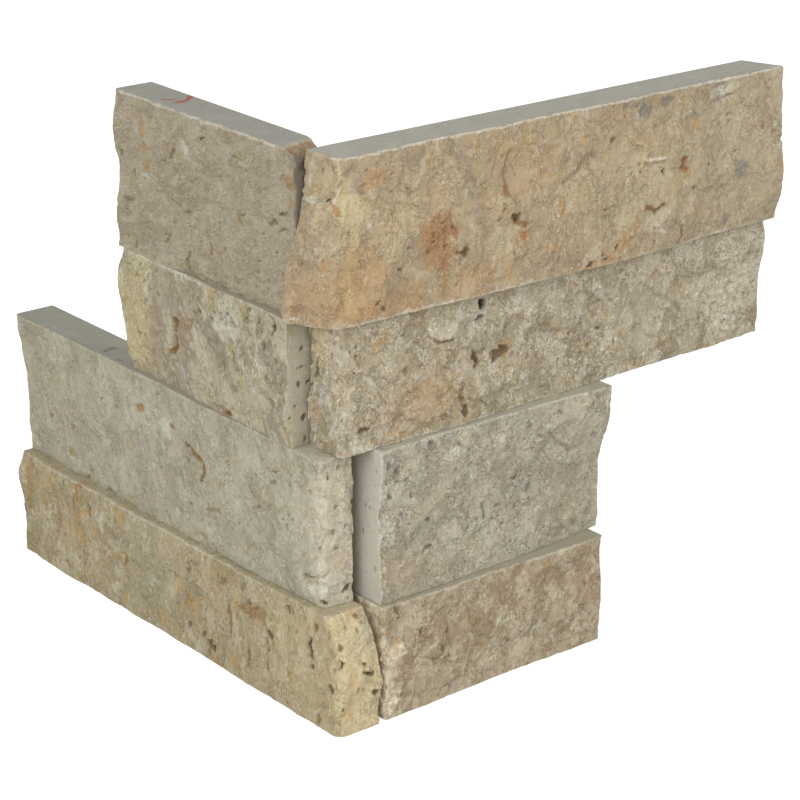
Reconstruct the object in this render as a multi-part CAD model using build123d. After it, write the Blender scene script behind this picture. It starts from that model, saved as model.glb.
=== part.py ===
from build123d import *
import math
import os

# Split face stone corner: the outside corner unit of a travertine ledger wall.
# Eight strips lie in four courses. Each strip is sawn flat on its back, bed, top and one end,
# and split on the face that shows. A long strip passes the corner in every course, on the left
# leg in the two lower courses and on the right leg in the two upper ones, and a short strip
# butts against its back on the other leg.
#
# Origin: the line where the two backs meet, at the bed. X runs along the right leg and Y along
# the left leg. The right leg's split faces look to -Y and the left leg's to -X. Millimetres.

# Heights of the courses, counted from the bed
course_1_height = 31.4
course_2_height = 42.7
course_3_height = 34.7
course_4_height = 43.6

# How far each strip's sawn end lies from the corner line, along its own leg
course_1_left_reach = 135.0
course_1_right_reach = 80.2
course_2_left_reach = 135.4
course_2_right_reach = 83.6
course_3_left_reach = 77.7
course_3_right_reach = 146.3
course_4_left_reach = 79.5
course_4_right_reach = 143.1

# The sawn end of the top right strip leans out by this much from its back to its face, and the
# other ends are square
course_4_right_skew = 4.1
square_end = 0.0

# Gap between a short strip's sawn end and the back of the long strip that it butts against
course_1_butt_gap = 2.6
course_2_butt_gap = 3.8
course_3_butt_gap = 0.5
course_4_butt_gap = 0.3

# Thickness of each strip at the corner and at its sawn end, from its back to the mean split face
course_1_left_corner_thickness = 12.4
course_1_left_end_thickness = 12.8
course_1_right_corner_thickness = 17.4
course_1_right_end_thickness = 17.0
course_2_left_corner_thickness = 10.7
course_2_left_end_thickness = 11.2
course_2_right_corner_thickness = 15.5
course_2_right_end_thickness = 13.0
course_3_left_corner_thickness = 13.6
course_3_left_end_thickness = 11.4
course_3_right_corner_thickness = 11.0
course_3_right_end_thickness = 8.5
course_4_left_corner_thickness = 11.2
course_4_left_end_thickness = 11.9
course_4_right_corner_thickness = 12.2
course_4_right_end_thickness = 11.4

# How far each long strip's split end passes the corner line, measured on its back
course_1_pass_bed = 19.8
course_1_pass_top = 12.6
course_2_pass_bed = 8.6
course_2_pass_top = 8.6
course_3_pass_bed = 7.2
course_3_pass_top = 7.4
course_4_pass_bed = 15.8
course_4_pass_top = 7.6

# How much further the split end passes on the strip's face than on its back
course_1_lean_bed = 0.2
course_1_lean_top = 1.4
course_2_lean_bed = -0.5
course_2_lean_top = 3.3
course_3_lean_bed = 0.0
course_3_lean_top = 0.2
course_4_lean_bed = -7.8
course_4_lean_top = -0.2

# The broken arris at the corner end of the top left strip: how far the break runs along the top
# and down the end, at the strip's back and at its face
arris_break_back_length = 7.3
arris_break_back_height = 5.2
arris_break_face_length = 4.6
arris_break_face_height = 0.8
arris_break_overrun = 1.0

# Ripple that the splitter leaves on a face: its height about the mean and its two pitches
ripple_height = 0.15
ripple_pitch_along = 43.0
ripple_pitch_up = 31.0

# Stock left on a strip before it is split, how far a split runs past it, and how deep it takes
stock_waste = 8.0
split_overrun = 4.0
split_depth = 24.0

# Steps between the points that each split face is drawn through
face_columns = 10
face_rows = 6
end_columns = 3

# Hand measured swells, in evenly spaced steps. The waves run from the corner to the sawn end
# along a strip's bed and top. The bellies run from its bed to its top, at the corner and at
# the sawn end. The pass bellies do so on a long strip's split end.
course_1_left_bed_waves = [1.1, 1.0, 0.7, 0.6, 1.0, 0.7]
course_1_left_top_waves = [-0.4, -0.2, 0.2, 0.4, 0.6, 0.5]
course_1_left_corner_belly = [0.0, 0.6, 0.9, 0.5, 0.0]
course_1_left_end_belly = [0.0, -0.2, -0.3, 0.8, 0.0]
course_1_right_bed_waves = [2.0, 1.3, 0.5, 0.4, 0.1]
course_1_right_top_waves = [-0.2, 0.1, 0.0, 0.2, 0.2]
course_1_right_corner_belly = [0.0, 0.1, 0.3, 0.1, 0.0]
course_1_right_end_belly = [0.0, 0.5, 0.6, -0.4, 0.0]
course_2_left_bed_waves = [-1.6, -0.7, -0.6, -0.9, -1.5, -1.6]
course_2_left_top_waves = [1.4, 2.0, 1.9, 1.5, 1.7, 1.4]
course_2_left_corner_belly = [0.0, 0.6, 0.8, 0.4, 0.0]
course_2_left_end_belly = [0.0, -0.9, -1.0, -0.6, 0.0]
course_2_right_bed_waves = [0.1, 0.4, 0.3, -0.2, -1.5]
course_2_right_top_waves = [0.0, -0.2, 0.4, 1.3, 2.4]
course_2_right_corner_belly = [0.0, -0.3, -0.4, -0.2, 0.0]
course_2_right_end_belly = [0.0, -1.3, -1.8, 0.4, 0.0]
course_3_left_bed_waves = [-0.6, -0.6, -0.5, -0.8, -0.8]
course_3_left_top_waves = [0.6, 0.2, 0.3, 0.6, 0.8]
course_3_left_corner_belly = [0.0, 1.1, 1.0, 0.8, 0.0]
course_3_left_end_belly = [0.0, 0.9, 1.7, 2.6, 0.0]
course_3_right_bed_waves = [1.6, 2.5, 1.6, 0.6, 0.3]
course_3_right_top_waves = [0.2, 0.7, 1.3, 1.6, 1.0]
course_3_right_corner_belly = [0.0, 0.3, 0.4, 0.2, 0.0]
course_3_right_end_belly = [0.0, -0.5, -1.3, 0.6, 0.0]
course_4_left_bed_waves = [-1.3, -0.2, -0.2, 0.7, 0.7]
course_4_left_top_waves = [0.3, 0.2, 0.4, 0.2, 0.4]
course_4_left_corner_belly = [0.0, -0.2, 0.0, 0.3, 0.0]
course_4_left_end_belly = [0.0, 0.0, -0.9, 0.4, 0.0]
course_4_right_bed_waves = [0.6, 1.3, 2.1, 2.6, 3.2, 1.7, 0.6]
course_4_right_top_waves = [0.2, 0.1, 0.6, 0.4, 0.7, 0.5, 0.6]
course_4_right_corner_belly = [0.0, 0.3, 0.5, 0.3, 0.0]
course_4_right_end_belly = [0.0, 1.6, 1.1, 0.5, 0.0]
course_1_pass_belly = [0.0, 2.2, 4.1, 4.2, 0.0]
course_2_pass_belly = [0.0, 0.3, -0.3, 0.2, 0.0]
course_3_pass_belly = [0.0, 0.1, -0.2, 0.1, 0.0]
course_4_pass_belly = [0.0, 1.5, 0.6, -0.9, 0.0]

course_heights = [course_1_height, course_2_height, course_3_height, course_4_height]


def course_bed(course):
    return sum(course_heights[:course - 1])


def blend(near, far, share):
    return near + (far - near) * share


def along(values, share):
    """The value at a share of the way along evenly spaced values, on a smooth curve through them."""
    place = min(max(share, 0.0), 1.0) * (len(values) - 1)
    step = min(int(place), len(values) - 2)
    near = values[step]
    far = values[step + 1]
    slope_near = (far - values[max(step - 1, 0)]) / 2
    slope_far = (values[min(step + 2, len(values) - 1)] - near) / 2
    t = place - step
    ease = t * t * (3 - 2 * t)
    return blend(near, far, ease) + t * (1 - t) * ((1 - t) * slope_near - t * slope_far)


class Strip:
    """One strip, drawn on the right leg: s runs along it from the corner line, z is up."""

    def __init__(self, name, course, start, reach, skew, thickness, waves, bellies, split=None):
        self.name = name
        self.course = course
        self.start = start
        self.corner = start
        self.reach = reach
        self.skew = skew
        self.corner_thickness, self.end_thickness = thickness
        self.bed_waves, self.top_waves = waves
        self.corner_belly, self.end_belly = bellies
        self.split = split
        self.bed = course_bed(course)
        self.height = course_heights[course - 1]
        if split:
            pass_bed, pass_top, lean_bed, lean_top, belly = split
            furthest = max(pass_bed, pass_top) + max(lean_bed, lean_top, 0) + max(belly)
            self.start = -furthest - split_overrun

    def thickness(self, s, up):
        """From the back to the split face, at a place along the strip and a share of its height."""
        share = (s - self.corner) / (self.reach - self.corner)
        mean = blend(self.corner_thickness, self.end_thickness, share)
        wave = blend(along(self.bed_waves, share), along(self.top_waves, share), up)
        belly = blend(along(self.corner_belly, up), along(self.end_belly, up), share)
        turn_along = 2 * math.pi * s / ripple_pitch_along + self.course
        turn_up = 2 * math.pi * self.height * up / ripple_pitch_up + 2 * self.course
        return mean + wave + belly + ripple_height * math.sin(turn_along) * math.cos(turn_up)

    def passes(self, depth_share, up):
        """How far a long strip's split end passes the corner line."""
        pass_bed, pass_top, lean_bed, lean_top, belly = self.split
        lean = blend(lean_bed, lean_top, up) * depth_share
        turn_up = 2 * math.pi * self.height * up / ripple_pitch_up + self.course
        ripple = ripple_height * math.sin(turn_up) * math.cos(math.pi * depth_share)
        return blend(pass_bed, pass_top, up) + lean + along(belly, up) + ripple

    def stock(self):
        """The sawn stock, square but for the skew of its sawn end, with waste on the split side."""
        depth = max(self.corner_thickness, self.end_thickness) + stock_waste
        skewed_end = self.reach + self.skew * depth / self.end_thickness
        outline = Polyline(
            (self.start, 0),
            (self.reach, 0),
            (skewed_end, -depth),
            (self.start, -depth),
            close=True,
        )
        block = extrude(make_face(outline), amount=self.height, dir=(0, 0, 1))
        return Pos(0, 0, self.bed) * block

    def face_waste(self):
        """What the splitter takes off the face."""
        first = self.start - split_overrun
        last = self.reach + self.skew + split_overrun
        points = []
        for column in range(face_columns + 1):
            s = blend(first, last, column / face_columns)
            line = []
            for row in range(face_rows + 1):
                up = blend(-split_overrun, self.height + split_overrun, row / face_rows) / self.height
                line.append(Vector(s, -self.thickness(s, up), self.bed + up * self.height))
            points.append(line)
        face = Face.make_surface_from_array_of_points(points, min_deg=3)
        return extrude(face, amount=split_depth, dir=(0, -1, 0))

    def end_waste(self):
        """What the splitter takes off a long strip's end at the corner."""
        depth = max(self.corner_thickness, self.end_thickness) + stock_waste + split_overrun
        points = []
        for column in range(end_columns + 1):
            y = blend(split_overrun, -depth, column / end_columns)
            line = []
            for row in range(face_rows + 1):
                up = blend(-split_overrun, self.height + split_overrun, row / face_rows) / self.height
                past = self.passes(-y / self.corner_thickness, up)
                line.append(Vector(-past, y, self.bed + up * self.height))
            points.append(line)
        face = Face.make_surface_from_array_of_points(points, min_deg=3)
        return extrude(face, amount=split_depth, dir=(-1, 0, 0))

    def solid(self):
        body = self.stock() - self.face_waste()
        if self.split:
            body = body - self.end_waste()
        return body


def long_strip(name, course, reach, skew, thickness, waves, bellies, split):
    """A long strip's face is measured from its split end, about halfway up."""
    pass_bed, pass_top = split[:2]
    corner = -(pass_bed + pass_top) / 2
    return Strip(name, course, corner, reach, skew, thickness, waves, bellies, split)


def short_strip(name, course, gap, reach, thickness, waves, bellies):
    return Strip(name, course, gap, reach, square_end, thickness, waves, bellies)


def on_left_leg(body):
    """Turns a strip drawn on the right leg over onto the left leg."""
    return mirror(body, about=Plane(origin=(0, 0, 0), z_dir=(1, -1, 0)))


course_1_left_strip = long_strip(
    "course_1_left_strip", 1, course_1_left_reach, square_end,
    (course_1_left_corner_thickness, course_1_left_end_thickness),
    (course_1_left_bed_waves, course_1_left_top_waves),
    (course_1_left_corner_belly, course_1_left_end_belly),
    (course_1_pass_bed, course_1_pass_top, course_1_lean_bed, course_1_lean_top,
     course_1_pass_belly),
)
course_1_right_strip = short_strip(
    "course_1_right_strip", 1, course_1_butt_gap, course_1_right_reach,
    (course_1_right_corner_thickness, course_1_right_end_thickness),
    (course_1_right_bed_waves, course_1_right_top_waves),
    (course_1_right_corner_belly, course_1_right_end_belly),
)
course_2_left_strip = long_strip(
    "course_2_left_strip", 2, course_2_left_reach, square_end,
    (course_2_left_corner_thickness, course_2_left_end_thickness),
    (course_2_left_bed_waves, course_2_left_top_waves),
    (course_2_left_corner_belly, course_2_left_end_belly),
    (course_2_pass_bed, course_2_pass_top, course_2_lean_bed, course_2_lean_top,
     course_2_pass_belly),
)
course_2_right_strip = short_strip(
    "course_2_right_strip", 2, course_2_butt_gap, course_2_right_reach,
    (course_2_right_corner_thickness, course_2_right_end_thickness),
    (course_2_right_bed_waves, course_2_right_top_waves),
    (course_2_right_corner_belly, course_2_right_end_belly),
)
course_3_left_strip = short_strip(
    "course_3_left_strip", 3, course_3_butt_gap, course_3_left_reach,
    (course_3_left_corner_thickness, course_3_left_end_thickness),
    (course_3_left_bed_waves, course_3_left_top_waves),
    (course_3_left_corner_belly, course_3_left_end_belly),
)
course_3_right_strip = long_strip(
    "course_3_right_strip", 3, course_3_right_reach, square_end,
    (course_3_right_corner_thickness, course_3_right_end_thickness),
    (course_3_right_bed_waves, course_3_right_top_waves),
    (course_3_right_corner_belly, course_3_right_end_belly),
    (course_3_pass_bed, course_3_pass_top, course_3_lean_bed, course_3_lean_top,
     course_3_pass_belly),
)
course_4_left_strip = short_strip(
    "course_4_left_strip", 4, course_4_butt_gap, course_4_left_reach,
    (course_4_left_corner_thickness, course_4_left_end_thickness),
    (course_4_left_bed_waves, course_4_left_top_waves),
    (course_4_left_corner_belly, course_4_left_end_belly),
)
course_4_right_strip = long_strip(
    "course_4_right_strip", 4, course_4_right_reach, course_4_right_skew,
    (course_4_right_corner_thickness, course_4_right_end_thickness),
    (course_4_right_bed_waves, course_4_right_top_waves),
    (course_4_right_corner_belly, course_4_right_end_belly),
    (course_4_pass_bed, course_4_pass_top, course_4_lean_bed, course_4_lean_top,
     course_4_pass_belly),
)


def chip_outline(strip, y, length, height):
    """One side of the chip that breaks off the top arris, drawn a little past the stone."""
    top = strip.bed + strip.height
    past = arris_break_overrun
    corner = (strip.start - past, y, top + past)
    low = (strip.start - past, y, top - height - past * height / length)
    high = (strip.start + length + past * length / height, y, top + past)
    return make_face(Polyline(corner, low, high, close=True))


def break_arris(body, strip):
    """Breaks the top arris off a short strip's corner end, more at its back than at its face."""
    back = chip_outline(
        strip, arris_break_overrun, arris_break_back_length, arris_break_back_height
    )
    face = chip_outline(
        strip, -strip.corner_thickness - arris_break_overrun,
        arris_break_face_length, arris_break_face_height,
    )
    return body - loft([back, face], ruled=True)


os.makedirs("parts", exist_ok=True)

for strip in (course_1_left_strip, course_2_left_strip, course_3_left_strip, course_4_left_strip):
    body = strip.solid()
    if strip is course_4_left_strip:
        body = break_arris(body, strip)
    export_step(on_left_leg(body), f"parts/{strip.name}.step")

for strip in (course_1_right_strip, course_2_right_strip, course_3_right_strip, course_4_right_strip):
    export_step(strip.solid(), f"parts/{strip.name}.step")
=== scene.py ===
from math import cos, radians, sin

import bpy
import numpy as np
from mathutils import Matrix, Vector
from mathutils.bvhtree import BVHTree
from mathutils.geometry import delaunay_2d_cdt


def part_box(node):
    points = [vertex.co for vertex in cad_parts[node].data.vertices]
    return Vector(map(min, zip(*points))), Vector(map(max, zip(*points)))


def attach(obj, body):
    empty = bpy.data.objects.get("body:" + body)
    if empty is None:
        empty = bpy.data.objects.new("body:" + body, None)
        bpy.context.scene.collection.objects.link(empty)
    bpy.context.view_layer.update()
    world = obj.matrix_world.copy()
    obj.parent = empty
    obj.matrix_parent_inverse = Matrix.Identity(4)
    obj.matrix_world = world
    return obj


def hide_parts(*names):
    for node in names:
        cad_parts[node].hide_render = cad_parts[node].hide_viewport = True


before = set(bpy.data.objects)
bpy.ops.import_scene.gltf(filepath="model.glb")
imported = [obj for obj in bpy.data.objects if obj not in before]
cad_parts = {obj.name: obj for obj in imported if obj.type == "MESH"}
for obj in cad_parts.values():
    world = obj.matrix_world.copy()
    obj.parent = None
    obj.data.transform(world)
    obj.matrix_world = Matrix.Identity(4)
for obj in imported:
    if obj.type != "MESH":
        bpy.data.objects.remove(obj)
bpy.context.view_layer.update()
print("frame loaded")

mm = 0.001  # strips are worked out in millimetres, the scene is in metres


def linear(hexColour):
    # an sRGB hex colour as linear light
    parts = [int(hexColour[i:i + 2], 16) / 255 for i in (1, 3, 5)]
    return [c / 12.92 if c <= 0.04045 else ((c + 0.055) / 1.055) ** 2.4 for c in parts] + [1.0]


def addNode(tree, kind, inputs, **settings):
    # adds a node, sets it up and links it. A node given as an input stands for its first output
    node = tree.nodes.new(kind)
    for name, value in settings.items():
        setattr(node, name, value)
    for key, value in inputs.items():
        socket = next(s for s in node.inputs if s.enabled and key in (s.identifier, s.name))
        if isinstance(value, bpy.types.Node):
            value = next(s for s in value.outputs if s.enabled)
        if isinstance(value, bpy.types.NodeSocket):
            tree.links.new(value, socket)
        else:
            socket.default_value = value
    return node


def smoothStep(low, high, x):
    t = np.clip((x - low) / (high - low), 0, 1)
    return t * t * (3 - 2 * t)


def softNoise(x, y, size, seed):
    # seeded noise from -1 to 1 over millimetres, with lumps about as large as size
    table = np.random.default_rng(seed).uniform(-1, 1, (97, 97))
    x, y = 0.8 * x + 0.6 * y, 0.8 * y - 0.6 * x
    column, row = np.floor(x / size).astype(int), np.floor(y / size).astype(int)
    u, v = smoothStep(0, 1, x / size - column), smoothStep(0, 1, y / size - row)
    column, row = column % 96, row % 96
    low = table[column, row] * (1 - u) + table[column + 1, row] * u
    high = table[column, row + 1] * (1 - u) + table[column + 1, row + 1] * u
    return low * (1 - v) + high * v


# The stone as the frame gives it. On each leg s runs from the corner along the strip, d comes
# out from its back and z is up, all in millimetres.

surface = {
    "cell": 0.37,  # grid of the split faces
    "edgeSteps": (0.0, 0.14, 0.32, 0.56, 0.86),  # finer steps beside each arris
    "backColumns": 8,
    "capSpacing": 3.0,
    "capShares": (0.25, 0.5, 0.75, 0.9),  # rows of points inside a top or bed, from back to face
    "fineSpacing": 0.5,  # round the marks on a top, and on a broken arris
    "endFade": 6.0,  # how far the corner's relief reaches round onto the face
    "breakReach": 10.0,  # how far a broken arris may reach along the strip, and down it
    "breakDepth": 12.0,
    "evenLeast": 0.3,  # share of the relief that is left beside the top, bed and far end
    "evenReach": 4.0,
    "edgeSlip": 0.29,  # share of its radius by which a rounded arris draws its points in
}
feeler = {
    "levelSpacing": 1.8, "stations": 80, "endStations": 7,
    "clear": 0.25,  # keeps a ray on the stone beside an arris
    "belowBreak": 7.0,  # a sawn end is felt this far below a top that may be broken
    # where rays start, outside every strip
    "beforeFace": 60, "pastFarEnd": 300, "pastCorner": -90, "overTop": 400,
}


def toWorld(leg, s, d, z):
    return (s, -d, z) if leg == "right" else (-d, s, z)


class StoneProbe:
    # feels the shape of one frame node with rays

    def __init__(self, node, leg):
        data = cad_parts[node].data
        points = [v.co / mm for v in data.vertices]
        self.tree = BVHTree.FromPolygons(points, [tuple(p.vertices) for p in data.polygons])
        self.leg = leg
        low, high = (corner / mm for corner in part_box(node))
        self.bed, self.top = low.z, high.z

    def cast(self, start, way):
        hit = self.tree.ray_cast(Vector(toWorld(self.leg, *start)), Vector(toWorld(self.leg, *way)))[0]
        if hit is None:
            return None
        return (hit.x, -hit.y, hit.z) if self.leg == "right" else (hit.y, -hit.x, hit.z)

    def depthAt(self, s, z):
        hit = self.cast((s, feeler["beforeFace"], z), (0, -1, 0))
        return hit[1] if hit else None

    def endAt(self, d, z, far):
        start, way = (feeler["pastFarEnd"], -1) if far else (feeler["pastCorner"], 1)
        hit = self.cast((start, d, z), (way, 0, 0))
        return hit[0] if hit else None

    def heightAt(self, s, d):
        hit = self.cast((s, d, feeler["overTop"]), (0, 0, -1))
        return hit[2] if hit else self.top


def curveWeights(places, count):
    # how much each of count even stations adds at places from 0 to 1, on a smooth curve through them
    at = np.clip(places, 0, 1) * (count - 1)
    step = np.minimum(at.astype(int), count - 2)
    t = at - step
    table = np.zeros((len(places), count))
    shares = ((2 * t * t - t - t ** 3) / 2, (2 - 5 * t * t + 3 * t ** 3) / 2,
              (t + 4 * t * t - 3 * t ** 3) / 2, (t ** 3 - t * t) / 2)
    for shift, share in enumerate(shares):
        np.add.at(table, (np.arange(len(places)), np.clip(step + shift - 1, 0, count - 1)), share)
    return table


def edgedSteps(length, cell):
    # places from 0 to 1 along a length, finer beside both of its ends
    edge = np.array(surface["edgeSteps"])
    middle = np.linspace(edge[-1], length - edge[-1], max(int(length / cell), 4))
    return np.concatenate([edge[:-1], middle, length - edge[-2::-1]]) / length


def feelStrip(probe, splitEnd):
    # stations on the strip: its thickness along each level, and both of its ends through their depth
    below = 0.1 if splitEnd else 1.0  # a sawn end may be broken along its top
    count = max(int((probe.top - probe.bed) / feeler["levelSpacing"]), 8)
    levels = np.linspace(probe.bed + 0.1, probe.top - below, count)
    shares = np.linspace(0, 1, feeler["endStations"])
    clear = feeler["clear"]
    thickness, starts, ends, corners = [], [], [], []
    for z in levels:
        borders = []
        for far, inward in ((False, 1), (True, -1)):
            s = probe.endAt(2, z if splitEnd else min(z, probe.top - feeler["belowBreak"]), far)
            for _ in range(4):
                depth = probe.depthAt(s + 0.3 * inward, z) or depth
                s = probe.endAt(depth - clear, z, far) or s
            through = [probe.endAt(min(max(q * depth, 0.1), depth - clear), z, far) for q in shares]
            borders.append((s, through))
        (first, startLine), (last, endLine) = borders
        places = np.linspace(first + 0.3, last - 0.3, feeler["stations"])
        thickness.append([probe.depthAt(s, z) for s in places])
        starts.append(startLine)
        ends.append(endLine)
        corners.append((first, last))
    starts = np.array(starts)
    if not splitEnd:
        starts[:] = np.median(starts)
    return levels, np.array(thickness), starts, np.array(ends), np.array(corners)


def wallGrid(probe, splitEnd):
    # the strip's four upright sides as rows of points around it, from bed to top
    levels, thickness, starts, ends, corners = feelStrip(probe, splitEnd)
    height = probe.top - probe.bed
    rows = edgedSteps(height, surface["cell"])
    columns = edgedSteps(np.mean(corners[:, 1] - corners[:, 0]), surface["cell"])
    depthSteps = edgedSteps(np.mean(thickness), surface["cell"])
    z = probe.bed + rows * height
    up = curveWeights((z - levels[0]) / (levels[-1] - levels[0]), len(levels))
    face = up @ thickness @ curveWeights(columns, thickness.shape[1]).T
    startLine = up @ starts @ curveWeights(depthSteps, starts.shape[1]).T
    endLine = up @ ends @ curveWeights(depthSteps, ends.shape[1]).T
    faceS = startLine[:, -1:] + (endLine[:, -1:] - startLine[:, -1:]) * columns
    back = np.linspace(1, 0, surface["backColumns"] + 1)[1:-1]
    backS = startLine[:, :1] + (endLine[:, :1] - startLine[:, :1]) * back
    s = np.hstack([faceS, endLine[:, ::-1][:, 1:], backS, startLine[:, :-1]])
    d = np.hstack([face, face[:, -1:] * depthSteps[::-1][1:], backS * 0, face[:, :1] * depthSteps[:-1]])
    part = np.concatenate([np.full(len(columns), 0), np.full(len(depthSteps) - 1, 1),
                           np.full(len(back), 2), np.full(len(depthSteps) - 1, 3)])
    return {"s": s, "d": d, "z": np.repeat(z[:, None], s.shape[1], 1), "part": part, "face": face,
            "faceS": faceS, "start": startLine, "end": endLine, "depthSteps": depthSteps}


def capPoints(grid, row, spec):
    # points inside the top or the bed, between the outline's own
    s0, s1 = grid["start"][row], grid["end"][row]
    middle = np.arange(s0.max() + 2, s1.min() - 2, surface["capSpacing"])
    depth = np.interp(middle, grid["faceS"][row], grid["face"][row])
    points = []
    for k, share in enumerate(surface["capShares"]):
        points += [(s + (k % 2) * 1.3, share * t) for s, t in zip(middle, depth)]
    if row:
        # finer where something shows on the top
        step = surface["fineSpacing"]
        patches = [(min(x) - width, max(x) + width, min(y) - width, max(y) + width)
                   for x, y, width in ((*zip(*mark[0]), mark[1]) for mark in spec.get("topMarks", []))]
        if spec.get("broken"):
            patches.append((s0.max(), s0.max() + surface["breakReach"], 0, 30))
        for left, right, near, far in patches:
            s, d = (v.ravel() for v in np.meshgrid(np.arange(left, right, step), np.arange(near, far, step)))
            depth = np.interp(s, grid["faceS"][row], grid["face"][row])
            inside = (d > 0.3) & (d < depth - 0.3) & (s > s0.max() + 0.3) & (s < s1.min() - 0.3)
            points += list(zip(s[inside], d[inside]))
    return np.array(points)


def edgeWear(distance, radius):
    # how far a rounded arris falls back, at a distance from it
    lack = np.clip(1 - distance / radius, 0, 1)
    return radius * (1 - np.sqrt(np.clip(1 - lack * lack, 0, 1)))


def arrisFall(distance, radius):
    # the same for an upright arris, whose points are drawn in towards it as well
    slip = surface["edgeSlip"]
    drawn = slip * radius + (1 - slip) * np.maximum(distance, 0)
    return radius - np.sqrt(np.maximum(radius ** 2 - (radius - drawn) ** 2, 0))


def markMask(x, y, mark, seed):
    # 0 to 1 over one listed mark with a ragged rim: a spot, or a line through several points
    isLine = isinstance(mark[0], list)
    breadth = mark[1] if isLine else min(mark[2], mark[3])
    bend = min(0.35 * breadth + 0.15, 1.4)
    bentX = x + bend * (softNoise(x, y, 2.3, seed + 2) + 0.4 * softNoise(x, y, 1.0, seed + 3))
    bentY = y + bend * (softNoise(x, y, 2.3, seed + 4) + 0.4 * softNoise(x, y, 1.0, seed + 5))
    if isLine:
        line, width, soft = mark[:3]
        reach = np.full(len(x), 1e6)
        for (x0, y0), (x1, y1) in zip(line, line[1:]):
            along, up = x1 - x0, y1 - y0
            t = np.clip(((bentX - x0) * along + (bentY - y0) * up) / (along ** 2 + up ** 2), 0, 1)
            reach = np.minimum(reach, np.hypot(bentX - x0 - t * along, bentY - y0 - t * up))
        reach = reach / (width / 2)
    else:
        x0, y0, long, high, turn, soft = mark[:6]
        turn = radians(turn)
        along = ((bentX - x0) * cos(turn) + (bentY - y0) * sin(turn)) / (long / 2)
        reach = np.hypot(along, ((bentY - y0) * cos(turn) - (bentX - x0) * sin(turn)) / (high / 2))
    rim = 0.30 * softNoise(x, y, max(breadth / 2.5, 0.6), seed) + 0.8 * soft * softNoise(x, y, 1.1, seed + 1)
    grainy = 1 - 0.5 * soft * (1 + softNoise(x, y, 0.8, seed + 6)) / 2
    return (1 - smoothStep(1 - soft, 1 + soft * 0.6 + 0.02, reach + rim)) * grainy


def breakArris(probe, grid, row, inner):
    # lowers the top to the break that the frame's stone has, and says by how much
    def drop(s, d, thick):
        low = grid["start"][row].max() + 0.05
        return np.array([probe.top - probe.heightAt(max(a, low), min(max(b, 0.05), c - 0.3))
                         for a, b, c in zip(s, d, thick)])

    near = grid["s"] < grid["start"].max() + surface["breakReach"]
    high = near & (grid["z"] > probe.top - surface["breakDepth"])
    thick = np.broadcast_to(grid["face"][:, :1], grid["s"].shape)
    lowered = np.zeros(grid["s"].shape)
    lowered[high] = drop(grid["s"][high], grid["d"][high], thick[high])
    grid["z"] -= lowered * np.clip(1 - (probe.top - grid["z"]) / surface["breakDepth"], 0, 1)
    return lowered, drop(inner[:, 0], inner[:, 1], np.full(len(inner), 99))


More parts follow.
